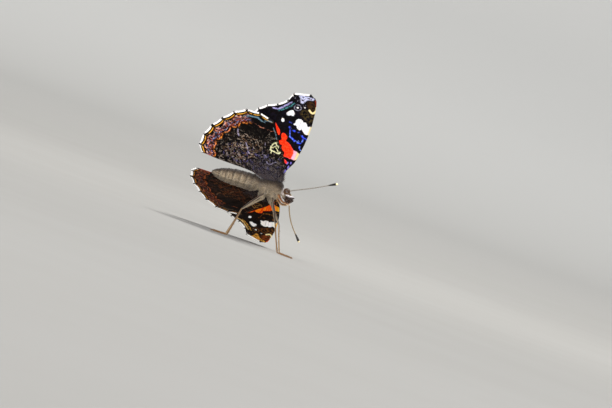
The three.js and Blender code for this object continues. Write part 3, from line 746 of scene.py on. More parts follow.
def forewing_under(side):
    c = under_colours_lit_by_side(side)
    f = WingFinish(f"forewing_{side}_under", c["black"])
    f.layer(c["bloom"], f.patches(1.1, 0.45, 0.62), 0.8)
    f.layer(c["base"], f.where("reach", 0.33, 0.1), f.patches(2.4, 0.42, 0.55), 0.9)
    f.layer(c["base_marks"], f.mark("base"), 0.9)
    f.layer(c["rings"], f.mark("rings"), f.patches(2.2, 0.44, 0.5), 0.9)
    f.layer(c["olive"], f.mark("olive", 0.5), f.patches(1.3, 0.46, 0.56, 4.0, 0.4), 0.85)
    f.layer(c["brown"], f.mark("brown", 0.25), f.patches(1.4, 0.38, 0.52, 4.0, 0.4), 0.95)
    f.layer(c["frost"], f.mark("frost", 0.2), f.patches(2.4, 0.37, 0.47), 0.95)
    f.layer(c["black"], f.mark("pupils"), 0.85)
    f.layer(c["teal"], f.mark("teal", 0.12), f.patches(1.6, 0.36, 0.5), 0.85)
    f.layer(c["lilac"], f.mark("lilac", 0.12), f.patches(1.4, 0.36, 0.5), 0.8)
    f.layer(c["rust_edge"], f.mark("rust_edge", 0.15), 0.9)
    f.layer(c["gold"], f.mark("gold"), 0.95)
    glow = f.mix(c["blue"], c["blue_glow"], f.patches(0.9, 0.5, 0.62))
    f.layer(glow, f.mark("blue", 0.12, -c["thinner"]), f.patches(1.0, 0.34, 0.56), 0.97)
    flame = f.mix(c["red"], c["red_bright"], f.patches(1.4, 0.42, 0.6))
    rim = f.where("red", 0.35 - c["red_grows"], -c["red_grows"])
    flame = f.mix(flame, c["red_rim"], rim, f.where("forward", *c["rim_from"]), f.patches(1.2, 0.36, 0.5))
    flame = f.mix(flame, c["red_rim"], f.where("vein", 0.3, 0.1), c["red_veins"])
    f.layer(flame, f.mark("red", 0.07, c["red_grows"]))
    f.layer(f.mix(c["tip"], c["buff"], f.where("forward", 1.6, 2.2)), f.mark("red_tip", 0.15), 0.97)
    f.layer(c["white"], f.mark("white"))
    f.layer(c["buff"], f.mark("white_tip", 0.2), 0.95)
    f.layer(c["black"], f.where("vein", 0.14, 0.04), f.where("reach", 0.45, 0.6), 0.35)
    return f.scaled()


# Stripes of the hindwing's margin: colour, distance inside the edge, half width, noise scale and cut
MARGIN_STRIPES = [
    ("rust", 1.0, 0.26, 1.3, 0.48),
    ("pink", 1.12, 0.2, 1.9, 0.49),
    ("salmon", 1.5, 0.34, 1.5, 0.46),
    ("steel", 1.75, 0.24, 1.9, 0.5),
    ("rust", 2.15, 0.4, 1.3, 0.45),
    ("salmon", 2.2, 0.26, 2.3, 0.52),
    ("steel", 2.5, 0.26, 1.8, 0.49),
    ("rust", 2.85, 0.3, 1.6, 0.5),
    ("pink", 2.6, 0.3, 3.0, 0.6),
    ("hind", 1.9, 1.2, 2.6, 0.51),
]


def hindwing_under(side):
    c = under_colours_lit_by_side(side)
    f = WingFinish(f"hindwing_{side}_under", c["hind"])
    outside_disc = f.where("disc", 0.4, -0.6, 0.12, 1.0)
    paler = f.both(f.where("edge", 3.6, 4.4), outside_disc, f.where("brown", -1.2, 0.8, 0.45, 1.0))
    f.layer(c["marble"], f.patches(0.85, 0.52, 0.6, 4.0, 0.6), paler)
    f.layer(c["hind"], f.patches(0.95, 0.56, 0.6, 3.0, 0.8), 0.9)
    f.layer(c["hind_base"], f.where("reach", 0.34, 0.08), 0.6)
    flecks = f.both(f.patches(2.0, 0.53, 0.66, 4.0, 0.6, (1.0, 0.5, 1.0)), f.patches(0.5, 0.4, 0.56))
    f.layer(c["violet_marble"], flecks, f.mark("violet", 0.8), outside_disc, 0.6)
    f.layer(c["pale_marble"], f.contours(0.62, 0.028), f.patches(1.5, 0.47, 0.55, 3.0), paler, 0.9)
    streaks = f.patches(1.9, 0.57, 0.62, 4.0, 0.5, (0.6, 1.0, 1.0))
    f.layer(c["warm_marble"], streaks, f.where("edge", 4.2, 5.2), f.mark("brown", 0.8), 0.8)

    # The margin: broken stripes, with orange inside and gold outside
    behind_apex = f.where("across", 2.8, 3.6)
    between_veins = f.ramp(f.beside_vein, 0.98, 0.6)
    for key, distance, half, scale, cut in MARGIN_STRIPES:
        broken = f.along_margin(scale, cut, cut + 0.07, 0.7)
        f.layer(c[key], f.band_at(distance, half, 0.12, 0.35), behind_apex, broken, 0.9)
    f.layer(c["hind"], f.mark("spots", 0.2), 0.8)
    inner_line = f.both(f.band_at(3.3, 0.22, 0.14, 0.45), behind_apex, between_veins)
    f.layer(c["orange"], inner_line, f.along_margin(1.7, 0.46, 0.56, 0.9, 3.0), 0.92)
    f.layer(c["salmon"], f.band_at(3.15, 0.12, 0.1, 0.45), between_veins, f.along_margin(2.4, 0.5, 0.58), 0.9)
    f.layer(c["hind"], f.band_at(0.74, 0.1, 0.06), 0.85)
    f.layer(c["gold_line"], f.band_at(0.5, 0.13, 0.07), between_veins, f.along_margin(1.6, 0.36, 0.46), 0.95)
    f.layer(c["hind"], f.where("edge", 0.32, 0.24), 0.95)
    f.layer(c["steel_arc"], f.mark("steel", 0.12), f.patches(1.5, 0.36, 0.5), 0.85)
    f.layer(c["hind"], f.where("vein", 0.12, 0.03), 0.35)
    f.layer(c["hind_lilac"], f.mark("lilac"), f.patches(2.0, 0.4, 0.52), 0.65)
    f.layer(c["cream"], f.mark("cream"), f.patches(2.2, 0.3, 0.42), 0.97)
    return f.scaled()


def velvet(name, reach):
    """The uppersides' black, with a bronze-brown base and rows of slightly paler scales."""
    f = WingFinish(name, "0c0808", rough_edge=0.26)
    rows_of_scales = f.patches(3.4, 0.54, 0.66, 2.0, 0.3, (1.0, 0.35, 1.0))
    f.layer("1f1613", f.patches(0.35, 0.42, 0.62, 4.0), 0.8)
    f.layer("2b2430", rows_of_scales, f.patches(0.6, 0.4, 0.6), 0.55)
    f.layer("4a3120", f.where("reach", reach, 0.08), f.patches(1.3, 0.3, 0.7), 0.85)
    f.layer("5c4129", f.where("reach", reach, 0.1), f.patches(2.6, 0.5, 0.62, 3.0, 0.4, (1, 0.4, 1)), 0.5)
    return f


def vermilion(f, inside):
    """The red of the uppersides: paler in its middle and dusted with black towards its border."""
    flame = f.mix("dd3a0c", "f2641f", f.patches(0.9, 0.4, 0.62, 4.0))
    flame = f.mix(flame, "f98a3c", f.ramp(inside, 0.5, 1.1), f.patches(2.2, 0.5, 0.62))
    flame = f.mix(flame, "8f220a", f.ramp(inside, 0.34, 0.08), f.patches(2.8, 0.42, 0.54))
    return f.mix(flame, "5e1707", f.where("vein", 0.24, 0.06), f.patches(1.2, 0.3, 0.55))


def forewing_upper():
    f = velvet("forewing_upper", 0.42)
    f.layer(vermilion(f, f.field("red_above")), f.mark("red_above", 0.1))
    f.layer(f.mix("f7f5f2", "cfd4e6", f.where("white", 0.25, 0.05)), f.mark("white"))
    f.layer("6784c4", f.mark("lilac", 0.16), f.patches(1.6, 0.36, 0.5), 0.6)
    f.layer("3f4a66", f.band_at(0.95, 0.16, 0.12, 0.3), f.along_margin(1.5, 0.48, 0.56), 0.6)
    f.layer("0a0706", f.where("vein", 0.14, 0.05), f.where("white", 0.0, -0.4), 0.5)
    return f.scaled()


RED_BORDER_AT = 2.35  # its middle, inside the margin


def hindwing_upper():
    f = velvet("hindwing_upper", 0.62)
    aside = f.maths("ABSOLUTE", f.maths("SUBTRACT", f.field("edge"), RED_BORDER_AT))
    border = f.both(f.band_at(RED_BORDER_AT, 1.7, 0.1), f.where("across", 1.9, 2.2))
    f.layer(vermilion(f, f.maths("SUBTRACT", 1.75, aside)), border)
    f.layer("0e0908", f.mark("dots", 0.16))
    f.layer("0e0908", f.mark("anal_blue", 0.5), 0.5)
    f.layer(f.mix("4f68bd", "8fa3e2", f.patches(2.2, 0.46, 0.6)), f.mark("anal_blue"))
    f.layer("0c0807", f.where("vein", 0.15, 0.05), 0.7)
    f.layer("0c0807", f.ramp(f.maths("ADD", f.field("edge"), f.ragged), 0.7, 0.5), 0.9)
    return f.scaled()


FRINGE_STEP = 0.07
FRINGE_LENGTH = {"l": 0.64, "r": 0.46}
FRINGE_WIDTH = 0.19
FRINGE_POINT = 0.16  # how long a scale's pointed end is
FRINGE_FAN = 0.4  # how far the scales lean from square to the margin to straight out from the root
FRINGE_LAYER_GAP = 0.09
FRINGE_HALF_THICK = 0.02
FRINGE_FILL = 0.5  # how much of the hollow between two vein tips the fringe fills
DARK_NEAR_VEIN = 0.27
TANGENT_REACH = 0.3  # along the margin, each way
UV_PATCH = 0.0015  # half of the space that each tuft or fringe scale takes in the unwrapped picture


def fringe_finish(name, pale):
    f = Finish(name, "120d0f", roughness=0.7)
    mm = f.place("mm")
    tone = f.mix(pale, "ffffff", f.ramp(f.noise(mm, 3.0, 2), 0.4, 0.6))
    f.layer(tone, f.where("pale", 0.35, 0.65))
    f.bump(f.noise(mm, 12.0, 2), 0.00002)
    return f.done()


def fringe(name, shape, side, finish, rng):
    """Narrow pointed scales in two layers along a wing's outer margin, dark where a vein ends."""
    grid, _, across, _ = wing_lines(shape, np.array([0.9, 0.97, 1.0]))
    start = margin_column(shape, grid.shape[1])
    rim = grid[-1, start:]
    steps = np.concatenate([[0], np.cumsum(np.linalg.norm(np.diff(rim, axis=0), axis=1))])
    scallops = [scallop for _, scallop in shape["veins"].values()]
    last = len(scallops) - 1
    points, faces, pale, roots = [], [], [], []

    def rim_at(distance):
        return np.array([np.interp(distance, steps, rim[:, k]) for k in range(2)])

    for layer in range(2):
        for at in np.arange(0, steps[-1], FRINGE_STEP) + layer * FRINGE_STEP / 2:
            margin = rim_at(at)
            tangent = unit(rim_at(min(at + TANGENT_REACH, steps[-1])) - rim_at(max(at - TANGENT_REACH, 0)))
            outward = np.array([tangent[1], -tangent[0]])
            outward *= np.sign(outward @ margin)
            lie = unit(outward + FRINGE_FAN * unit(margin) + tangent * rng.uniform(-0.12, 0.12))
            where = np.interp(at, steps, across[-1, start:])
            share = where % 1
            hollow = 4 * share * (1 - share) * max(scallops[min(int(where), last)], 0)
            to_vein = min(share, 1 - share) * MARGIN_STEP
            white = to_vein > DARK_NEAR_VEIN + rng.uniform(-0.17, 0.17)
            white = (white or where > last - 1) and where > shape["pale_from"]
            tip = margin + outward * hollow * FRINGE_FILL
            root = tip - lie * FRINGE_LENGTH[side] * rng.uniform(0.86, 1.05)
            half = tangent * FRINGE_WIDTH / 2
            shoulder = tip - lie * FRINGE_POINT
            height = wing_surface(shape, tip) + (layer - 0.5) * FRINGE_LAYER_GAP + rng.uniform(-0.02, 0.02)
            curve = rng.uniform(-0.02, 0.06)
            outline = [root - half, root + half, shoulder + half, tip, shoulder - half]
            first = len(points)
            for face in (FRINGE_HALF_THICK, -FRINGE_HALF_THICK):
                points += [(*p, height + curve * up + face) for p, up in zip(outline, (0, 0, 0.6, 1, 0.6))]
            faces += [[first + k for k in range(5)], [first + k for k in (9, 8, 7, 6, 5)]]
            for k in range(5):
                n = (k + 1) % 5
                faces.append([first + corner for corner in (k + 5, n + 5, n, k)])
            pale += [float(white)] * 10
            roots += [(*tip, 0.0)] * 10
    points = np.array(points)
    roots = np.array(roots)
    patch = np.tile([(-1, -1), (1, -1), (1, 1), (0, 1), (-1, 1)] * 2, (len(points) // 10, 1)) * UV_PATCH
    sign = SIDES[side]
    piece = make(
        name,
        body_to_part(wing_to_body(points[:, :2], points[:, 2], sign)),
        [face[::sign] for face in faces],
        [finish],
        fields={"pale": pale},
        vectors={"mm": roots},
        uv=wing_unwrap(roots[:, :2], 0) + patch,
        smooth=False,
    )
    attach(piece, "root")
    return piece


rng = np.random.default_rng(7)
upper_finishes = {"forewing": forewing_upper(), "hindwing": hindwing_upper()}
under_finishes = {"forewing": forewing_under, "hindwing": hindwing_under}
# Both fringes are one white: the left copy is painted brighter, to cancel the shade on that wing's underside,
# and the right copy is dimmer.
fringe_finishes_lit_by_side = {"l": fringe_finish("fringe_l", "fffdf8"), "r": fringe_finish("fringe_r", "efe9e6")}
for side, sign in SIDES.items():
    for kind, shape, marks in (
        ("forewing", FOREWING, FOREWING_MARKS),
        ("hindwing", HINDWING, HINDWING_MARKS),
    ):
        finishes = [upper_finishes[kind], under_finishes[kind](side)]
        piece = wing(f"{kind}_skin_{side}", shape, sign, marks, finishes)
        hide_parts(f"{kind}_{side}")
        edge_piece = fringe(f"{kind}_fringe_{side}", shape, side, fringe_finishes_lit_by_side[side], rng)

# Body: one skin over head, thorax, coxae and abdomen, with hair and scales in tufts on it

BODY_HEIGHT = 16.0
HEAD_AT = 2.8
HEAD_RADII = (1.2, 1.05, 1.25)  # along, across, up
EYE_RADII = (0.95, 0.85, 1.05)
EYE_AT = (HEAD_AT + 0.1, 1.0, 0.05)
ABDOMEN_FRONT = -4.85
ABDOMEN_LENGTH = 13.1
ABDOMEN_RADIUS = 2.3
ABDOMEN_DEPTH = 1.04  # its height as a share of its width
ABDOMEN_DROOP = 1.3
ABDOMEN_SEGMENTS = 7
ABDOMEN_OUTLINE = [(0, 0.66), (0.12, 0.9), (0.32, 1), (0.55, 0.97), (0.78, 0.78), (0.93, 0.48), (1, 0.2)]
SEGMENT_OUTLINE = [(0, 0.965), (0.15, 0.98), (0.55, 1.0), (0.9, 1.005), (1, 0.965)]
THORAX_RINGS = [  # at, half width, half height, lift of the centre
    (-4.6, 1.6, 1.7, 0.05),
    (-3.4, 2.15, 2.35, 0.05),
    (-2.0, 2.45, 2.8, 0),
    (-0.6, 2.5, 2.95, 0),
    (0.45, 2.3, 2.65, 0.05),
    (1.1, 1.9, 2.1, 0.1),
    (1.5, 1.25, 1.3, 0.1),
]
THORAX_COAT = 0.26
ABDOMEN_COAT = 0.1
HEAD_COAT = 0.14
WAIST = (-4.78, 1.2, 1.25, 0)
NECK = (1.7, 0.8, 0.8, 0.05)
HIP_ACROSS = 1.05
HIPS = {"midleg": (-0.2, -4.0), "hindleg": (-2.9, -3.7)}
COXA_TOP = (0.5, 0.75, -1.6)  # behind the hip, across, up
COXA_RADII = [(0, 0.68), (0.5, 0.74), (0.85, 0.5), (1, 0.3)]
SKIN_VOXEL = 0.1
SKIN_SIDES = 48
ABDOMEN_STEPS = 140
THORAX_STEPS = 60
HEAD_STEPS = 24
COXA_STEPS = 14


def droop(share):
    """How far the abdomen's axis has sunk at a share of its length."""
    return ABDOMEN_DROOP * share**1.5


def abdomen_ring(share):
    """A ring of the abdomen: each segment swells towards its rear edge and laps over the next."""
    pinch = np.interp((share * ABDOMEN_SEGMENTS) % 1, *zip(*SEGMENT_OUTLINE))
    radius = ABDOMEN_RADIUS * np.interp(share, *zip(*ABDOMEN_OUTLINE)) * pinch - ABDOMEN_COAT
    return (ABDOMEN_FRONT - ABDOMEN_LENGTH * share, radius, radius * ABDOMEN_DEPTH, -droop(share))


def body_rings():
    """Upright rings from the abdomen's end to the face, each in the form of THORAX_RINGS."""
    rings = [(ABDOMEN_FRONT - ABDOMEN_LENGTH - 0.02, 0.02, 0.02, -ABDOMEN_DROOP)]
    rings += [abdomen_ring(share) for share in np.linspace(0.995, 0.0, ABDOMEN_STEPS)]
    rings.append(WAIST)
    thorax = [(at, a - THORAX_COAT, u - THORAX_COAT, lift) for at, a, u, lift in THORAX_RINGS]
    rings += catmull_rom(thorax, np.linspace(0, 1, THORAX_STEPS)).tolist()
    rings.append(NECK)
    along, across, up = (radius - HEAD_COAT for radius in HEAD_RADII)
    for angle in np.linspace(-1.0, math.pi / 2 - 0.02, HEAD_STEPS):
        rings.append((HEAD_AT + along * math.sin(angle), across * math.cos(angle), up * math.cos(angle), 0))
    return rings


def turns_of(sides):
    """Even angles round a full turn."""
    return np.arange(sides) * 2 * math.pi / sides


def ring_faces(rows, sides):
    """Quads between rings of points, with a cap at each end."""
    index = np.arange(rows * sides).reshape(rows, sides)
    after = np.roll(index, -1, axis=1)
    quads = np.stack([index[:-1], after[:-1], after[1:], index[1:]], -1).reshape(-1, 4)
    return [*quads.tolist(), index[0][::-1].tolist(), index[-1].tolist()]


def loft(rings, sides):
    at, across, up, lift = (values[:, None] for values in np.array(rings, float).T)
    turns = turns_of(sides)
    points = np.stack([at + 0 * turns, across * np.sin(turns), lift + up * np.cos(turns)], axis=-1)
    return points.reshape(-1, 3), ring_faces(len(rings), sides)


def frames_along(path):
    """A tangent and two square directions at each point of a path."""
    tangent = unit(np.gradient(path, axis=0))
    start = np.array([0.0, 0.0, 1.0]) if abs(tangent[0][2]) < 0.9 else np.array([0.0, 1.0, 0.0])
    side = np.zeros_like(path)
    for i, along in enumerate(tangent):
        start = unit(start - along * (start @ along))
        side[i] = start
    return tangent, side, np.cross(tangent, side)


def tube(path, radii, sides=12):
    """A limb along a path, closed at both ends, with each point's share of the length and its angle."""
    path = np.asarray(path, float)
    _, side, other = frames_along(path)
    turns = turns_of(sides)
    out = side[:, None] * np.cos(turns)[None, :, None] + other[:, None] * np.sin(turns)[None, :, None]
    points = (path[:, None] + out * np.asarray(radii)[:, None, None]).reshape(-1, 3)
    rows = len(path)
    share = np.repeat(np.linspace(0, 1, rows), sides)
    return points, ring_faces(rows, sides), share, np.tile(turns, rows)


def join(parts):
    """Several (points, faces, ...) as one, with the fields of each put end to end."""
    points, faces, *extras = zip(*parts)
    firsts = np.cumsum([0, *(len(group) for group in points)]).tolist()
    faces = [[i + first for i in face] for first, group in zip(firsts, faces) for face in group]
    return (np.vstack(points), faces, *(np.concatenate(values) for values in extras))


def remeshed(points, faces, voxel):
    """The outer surface of overlapping closed shapes as one even mesh, with its normals."""
    mesh = bpy.data.meshes.new("raw")
    mesh.from_pydata(np.asarray(points).tolist(), [], faces)
    raw = added("raw", mesh)
    solid = raw.modifiers.new("remesh", "REMESH")
    solid.mode = "VOXEL"
    solid.voxel_size = voxel
    smooth = raw.modifiers.new("smooth", "SMOOTH")
    smooth.factor = 0.5
    smooth.iterations = 4
    done = raw.evaluated_get(bpy.context.evaluated_depsgraph_get()).to_mesh()
    polygons = [list(polygon.vertices) for polygon in done.polygons]
    spots, normals = (np.zeros(len(done.vertices) * 3) for _ in range(2))
    done.vertices.foreach_get("co", spots)
    done.vertices.foreach_get("normal", normals)
    bpy.data.objects.remove(raw)
    bpy.data.meshes.remove(mesh)
    return spots.reshape(-1, 3), polygons, normals.reshape(-1, 3)


def coxa(hip, sign):
    along, up = hip
    back, across, top = COXA_TOP
    ends = np.array([(along - back, sign * across, top), (along, sign * HIP_ACROSS, up)])
    path = [ends[0], ends.mean(axis=0), ends[1]]
    share = np.linspace(0, 1, COXA_STEPS)
    return tube(catmull_rom(path, share), np.interp(share, *zip(*COXA_RADII)), 20)[:2]


def around(points):
    """Each body point's angle round the body's axis: 0 on the back, half a turn below."""
    share = np.clip((ABDOMEN_FRONT - points[:, 0]) / ABDOMEN_LENGTH, 0, 1)
    return np.arctan2(points[:, 1], points[:, 2] + droop(share))


def body_unwrap(points):
    """Each body point's place in the unwrapped picture, along and round the body."""
    turn = (around(points) + math.pi) / (2 * math.pi)
    return np.column_stack([(points[:, 0] + 19) / 25, 0.04 + 0.92 * turn])


# Lines of white hair on the head, seen from its side: behind and below the eye, and at the antenna's root
FACE_LINES = [
    [(2.1, 0.9), (1.75, 0.3), (1.8, -0.4), (2.3, -1.0), (3.1, -1.2), (3.9, -0.8)],
    [(2.9, 1.2), (3.5, 0.95), (3.85, 0.5)],
]
FACE_LINE_HALF = 0.26
FACE_LINE_CLEAR = 0.22  # of the head's middle


def body_fields(points):
    """What the colours of the skin and of its hair are painted by."""
    segment = (ABDOMEN_FRONT - points[:, 0]) / ABDOMEN_LENGTH * ABDOMEN_SEGMENTS
    away = np.minimum(*(from_line(points[:, [0, 2]], np.array(line)) for line in FACE_LINES))
    return {
        "along": points[:, 0],
        "below": -np.cos(around(points)),
        "segment": np.where(segment > 0, segment, 0),
        "face": np.where(np.abs(points[:, 1]) > FACE_LINE_CLEAR, FACE_LINE_HALF - away, -1.0),
    }


TUFT_SECTION = [(0.0, 1.0), (0.87, -0.5), (-0.87, -0.5)]
TUFT_PATCH = [(-1, -1), (1, -1), (0, -1), (-1, 0), (1, 0), (0, 0), (0, 1)]
TUFT_SHARES = [0, 0, 0, 0.5, 0.5, 0.5, 1]  # of its length, at each of its seven points
TUFT_FACES = [(0, 1, 4, 3), (1, 2, 5, 4), (2, 0, 3, 5), (3, 4, 6), (4, 5, 6), (5, 3, 6), (2, 1, 0)]
TUFT_SUNK = 0.06
TUFT_TURN = 0.28  # how far tufts turn aside from their lie
TUFT_UNEVEN = 0.15  # how much their stand varies
TUFT_LENGTHS = (0.75, 1.2)
TUFT_WIDTHS = (0.8, 1.2)
TUFT_TAPER = 0.8


class Coat:
    """Hair or scales of one piece: thin, bent, pointed tufts, each with a root, a lie and a length."""

    def __init__(self):
        self.parts = []

    def add(self, sites, rng, length, width, stand, bend, flat=1.0):
        """Tufts at sites, which are roots, normals, lie, unwrapped places and fields."""
        roots, normals, lie, uv, fields = sites
        count = len(roots)
        lie = unit(lie - normals * np.sum(lie * normals, axis=1, keepdims=True))
        turn = rng.normal(0, TUFT_TURN, count)[:, None]
        lie = lie * np.cos(turn) + np.cross(normals, lie) * np.sin(turn)
        side = np.cross(normals, lie)
        stand = (stand * (1 + rng.normal(0, TUFT_UNEVEN, count)))[:, None]
        way = normals * np.sin(stand) + lie * np.cos(stand)
        over = normals * np.cos(stand) - lie * np.sin(stand)
        length = (length * rng.uniform(*TUFT_LENGTHS, count))[:, None]
        width = (width * rng.uniform(*TUFT_WIDTHS, count))[:, None]
        base = roots - normals * TUFT_SUNK
        middle = base + way * length * 0.5 + over * length * bend
        tuft = [
            centre + (side * a + over * b * flat) * width * thick / 2
            for centre, thick in ((base, 1.0), (middle, TUFT_TAPER))
            for a, b in TUFT_SECTION
        ]
        points = np.stack([*tuft, base + way * length], axis=1)
        place = uv[:, None, :] + np.array(TUFT_PATCH)[None] * UV_PATCH
        carried = {key: np.repeat(values, len(TUFT_SHARES)) for key, values in fields.items()}
        carried["tip"] = np.tile(TUFT_SHARES, count)
        carried["hair"] = np.repeat(rng.uniform(0, 1, count), len(TUFT_SHARES))
        self.parts.append((points.reshape(-1, 3), place.reshape(-1, 2), carried))

    def piece(self, name, finish, slot, to_part=body_to_part):
        points, uv, carried = zip(*self.parts)
        points = np.vstack(points)
        fields = {key: np.concatenate([part[key] for part in carried]) for key in carried[0]}
        first = np.arange(0, len(points), len(TUFT_SHARES))[:, None]
        faces = [face for corners in TUFT_FACES for face in (first + np.array(corners)[None]).tolist()]
        piece = make(name, to_part(points), faces, [finish], fields=fields, uv=np.vstack(uv))
        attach(piece, "root")
        return piece


def scatter(points, faces, normals, weight, count, rng):
    """Random places on a surface, more of them where weight is high, with their normals."""
    triangles = np.array([t for f in faces for t in ((f[0], f[1], f[2]), (f[0], f[2], f[-1]))[: len(f) - 2]])
    a, b, c = (points[triangles[:, k]] for k in range(3))
    area = np.linalg.norm(np.cross(b - a, c - a), axis=1) * weight((a + b + c) / 3)
    corners = triangles[rng.choice(len(triangles), count, p=area / area.sum())]
    u, v = rng.uniform(0, 1, (2, count))
    fold = u + v > 1
    u, v = np.where(fold, 1 - u, u)[:, None], np.where(fold, 1 - v, v)[:, None]

    def mixed(values):
        a, b, c = (values[corners[:, k]] for k in range(3))
        return a * (1 - u - v) + b * u + c * v

    return mixed(points), unit(mixed(normals))


def coat_finish(name, hairy):
    """Brown-black on the back and grey-buff below, on the skin and on its tufts alike."""
    f = Finish(name, "20160f", roughness=0.75, specular=0.2, sheen=0.25)
    below = f.field("below")
    spot = f.spot()

    def grains(scale, low, high, detail=3):
        return f.ramp(f.noise(spot, scale, detail), low, high)

    patchy = f.both(f.maths("SUBTRACT", f.noise(spot, 900.0, 3), 0.5), 0.5)
    lower = f.maths("ADD", below, patchy)
    f.layer("4a3a2b", f.ramp(lower, -0.35, 0.1), 0.9)
    f.layer("85755f", f.ramp(lower, 0.05, 0.6))
    f.layer("a2937c", f.ramp(lower, 0.7, 1.05), 0.55)
    f.layer("3a2b1c", f.ramp(below, 0.1, -0.4), grains(1500.0, 0.45, 0.62), 0.7)
    phase = f.maths("FRACT", f.field("segment"))
    on_abdomen = f.where("segment", 0.02, 0.2)
    f.layer("352719", grains(2600.0, 0.5, 0.62), on_abdomen, f.ramp(below, -0.6, 0.2), 0.75)
    f.layer("140d09", f.ramp(phase, 0.82, 0.98), on_abdomen, 0.6)
    f.layer("b8a88e", f.band(phase, 0.72, 0.1, 0.08), on_abdomen, f.ramp(below, -0.1, 0.4), 0.35)
    f.layer("2a1d13", f.band(below, 0.97, 0.05, 0.06), on_abdomen, 0.6)
    f.layer("d9d0cd", f.where("face", -0.08, 0.1), grains(1800.0, 0.36, 0.5, 2), 0.85)
    if hairy:
        f.shade_hair((0.95, 0.42), (0.6, 0.7))
    else:
        f.bump(f.noise(f.stretch(spot, (0.5, 1, 1)), 9000.0, 3), 0.00006)
        f.bump(f.cells(spot, 5200.0), 0.00004, 0.6)
    return f.done()


def body():
    """The body's skin. Returns its points, faces and normals, for the coat."""
    parts = [loft(body_rings(), SKIN_SIDES)]
    parts += [coxa(hip, sign) for hip in HIPS.values() for sign in SIDES.values()]
    points, faces, normals = remeshed(*join(parts), SKIN_VOXEL)
    piece = make(
        "body_skin",
        body_to_part(points),
        faces,
        [coat_finish("body_skin", hairy=False)],
        fields=body_fields(points),
        uv=body_unwrap(points),
    )
    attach(piece, "root")
    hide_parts("head", "thorax", "abdomen")
    return points, faces, normals


BARE_EYE_SIDE = 0.55  # no hair grows further out than this
BARE_EYE_REACH = 0.85  # within this of the eye's middle


def on_head(roots):
    """One on the head's skin clear of the eyes, and zero on them."""
    beside_eye = np.linalg.norm((roots - [EYE_AT[0], 0, EYE_AT[2]]) * [1, 0, 1], axis=1)
    on_eye = (np.abs(roots[:, 1]) > BARE_EYE_SIDE) & (beside_eye < BARE_EYE_REACH)
    return np.where(on_eye, 0.0, 1.0)


def near_seams(roots):
    return 0.35 + 1.3 * smoothstep(body_fields(roots)["segment"] % 1, 0.55, 0.85)


def evenly(_):
    return 1.0


def thorax_length(roots):
    """Longer on the back, and shorter far up and far down."""
    return np.where(np.cos(around(roots)) < 0, 0.75, 0.95) * np.where(np.abs(roots[:, 2]) > 3.0, 0.6, 1.0)


def abdomen_length(roots):
    """Longer at both ends of the abdomen."""
    return 0.34 + 0.45 * smoothstep(roots[:, 0], -8.5, -4.9) + 0.25 * smoothstep(roots[:, 0], -16.0, -18.0)


# The body's coat: name, slot, span along the body, number of tufts, how dense they are, their lie, their
# length, and their width, stand, bend and flatness
BODY_COAT = [
    (
        "coat_thorax", "coat", (-4.9, 1.8), 16000, evenly,
        lambda roots: (-1.0, 0.25 * np.sign(roots[:, 1]), -0.35),
        thorax_length, (0.075, 0.42, 0.1, 1.0),
    ),
    (
        "coat_head", "coat", (1.7, 4.2), 6500, on_head,
        lambda roots: (0.6, 0.1 * roots[:, 1], np.where(roots[:, 2] > 0, 0.8, -0.6)),
        lambda roots: 0.42, (0.05, 0.75, 0.08, 1.0),
    ),
    (
        "coat_abdomen", "abdomen", (-18.2, -4.8), 15000, evenly,
        lambda roots: (-1.0, 0.0 * roots[:, 1], -0.1),
        abdomen_length, (0.1, 0.22, 0.05, 0.45),
    ),
    (
        "coat_abdomen_hair", "abdomen", (-18.2, -4.8), 7000, near_seams,
        lambda roots: (-1.0, 0.15 * np.sign(roots[:, 1]), -0.3),
        lambda roots: 0.5 + 0.6 * smoothstep(roots[:, 0], -9.5, -4.9), (0.04, 0.36, 0.08, 1.0),
    ),
]


def body_coat(points, faces, normals, rng):
    finish = coat_finish("coat", hairy=True)
    for name, slot, (rear, front), count, density, lie, length, shape in BODY_COAT:

        def weight(spots):
            return ((spots[:, 0] > rear) & (spots[:, 0] < front)) * density(spots)

        roots, ups = scatter(points, faces, normals, weight, count, rng)
        lies = np.column_stack(np.broadcast_arrays(*lie(roots)))
        coat = Coat()
        sites = (roots, ups, lies, body_unwrap(roots), body_fields(roots))
        coat.add(sites, rng, length(roots), *shape)
        coat.piece(name, finish, slot)


WING_BASE_HAIRS = 1500  # on each face of each wing
HAIR_REACH = {"forewing": 0.2, "hindwing": 0.34}
HAIR_COLOURS = {"forewing": ("3a2a1c", "241d2a"), "hindwing": ("4a3420", "2a2430")}
HAIR_ROWS = 60
HAIR_GRID_REACH = 0.5
HAIR_LENGTHS = (1.5, 0.7)  # at the wing's root and at the hair's reach
HAIR_CROWDING = 1.4  # above one, more of the hair grows near the root
HAIR_ASIDE = 0.12
HAIR_SHAPE = (0.045, 0.16, 0.06, 0.7)  # width, stand, bend, flatness


def wing_hair_finish(name, above, below):
    f = Finish(name, above, roughness=0.7, specular=0.2, sheen=0.2)
    f.layer(below, f.where("below", -0.5, 0.5))
    f.layer("7a6248", f.where("hair", 0.7, 1.0), 0.6)
    f.shade_hair((0.7, 0.6), (0.6, 0.75))
    return f.done()


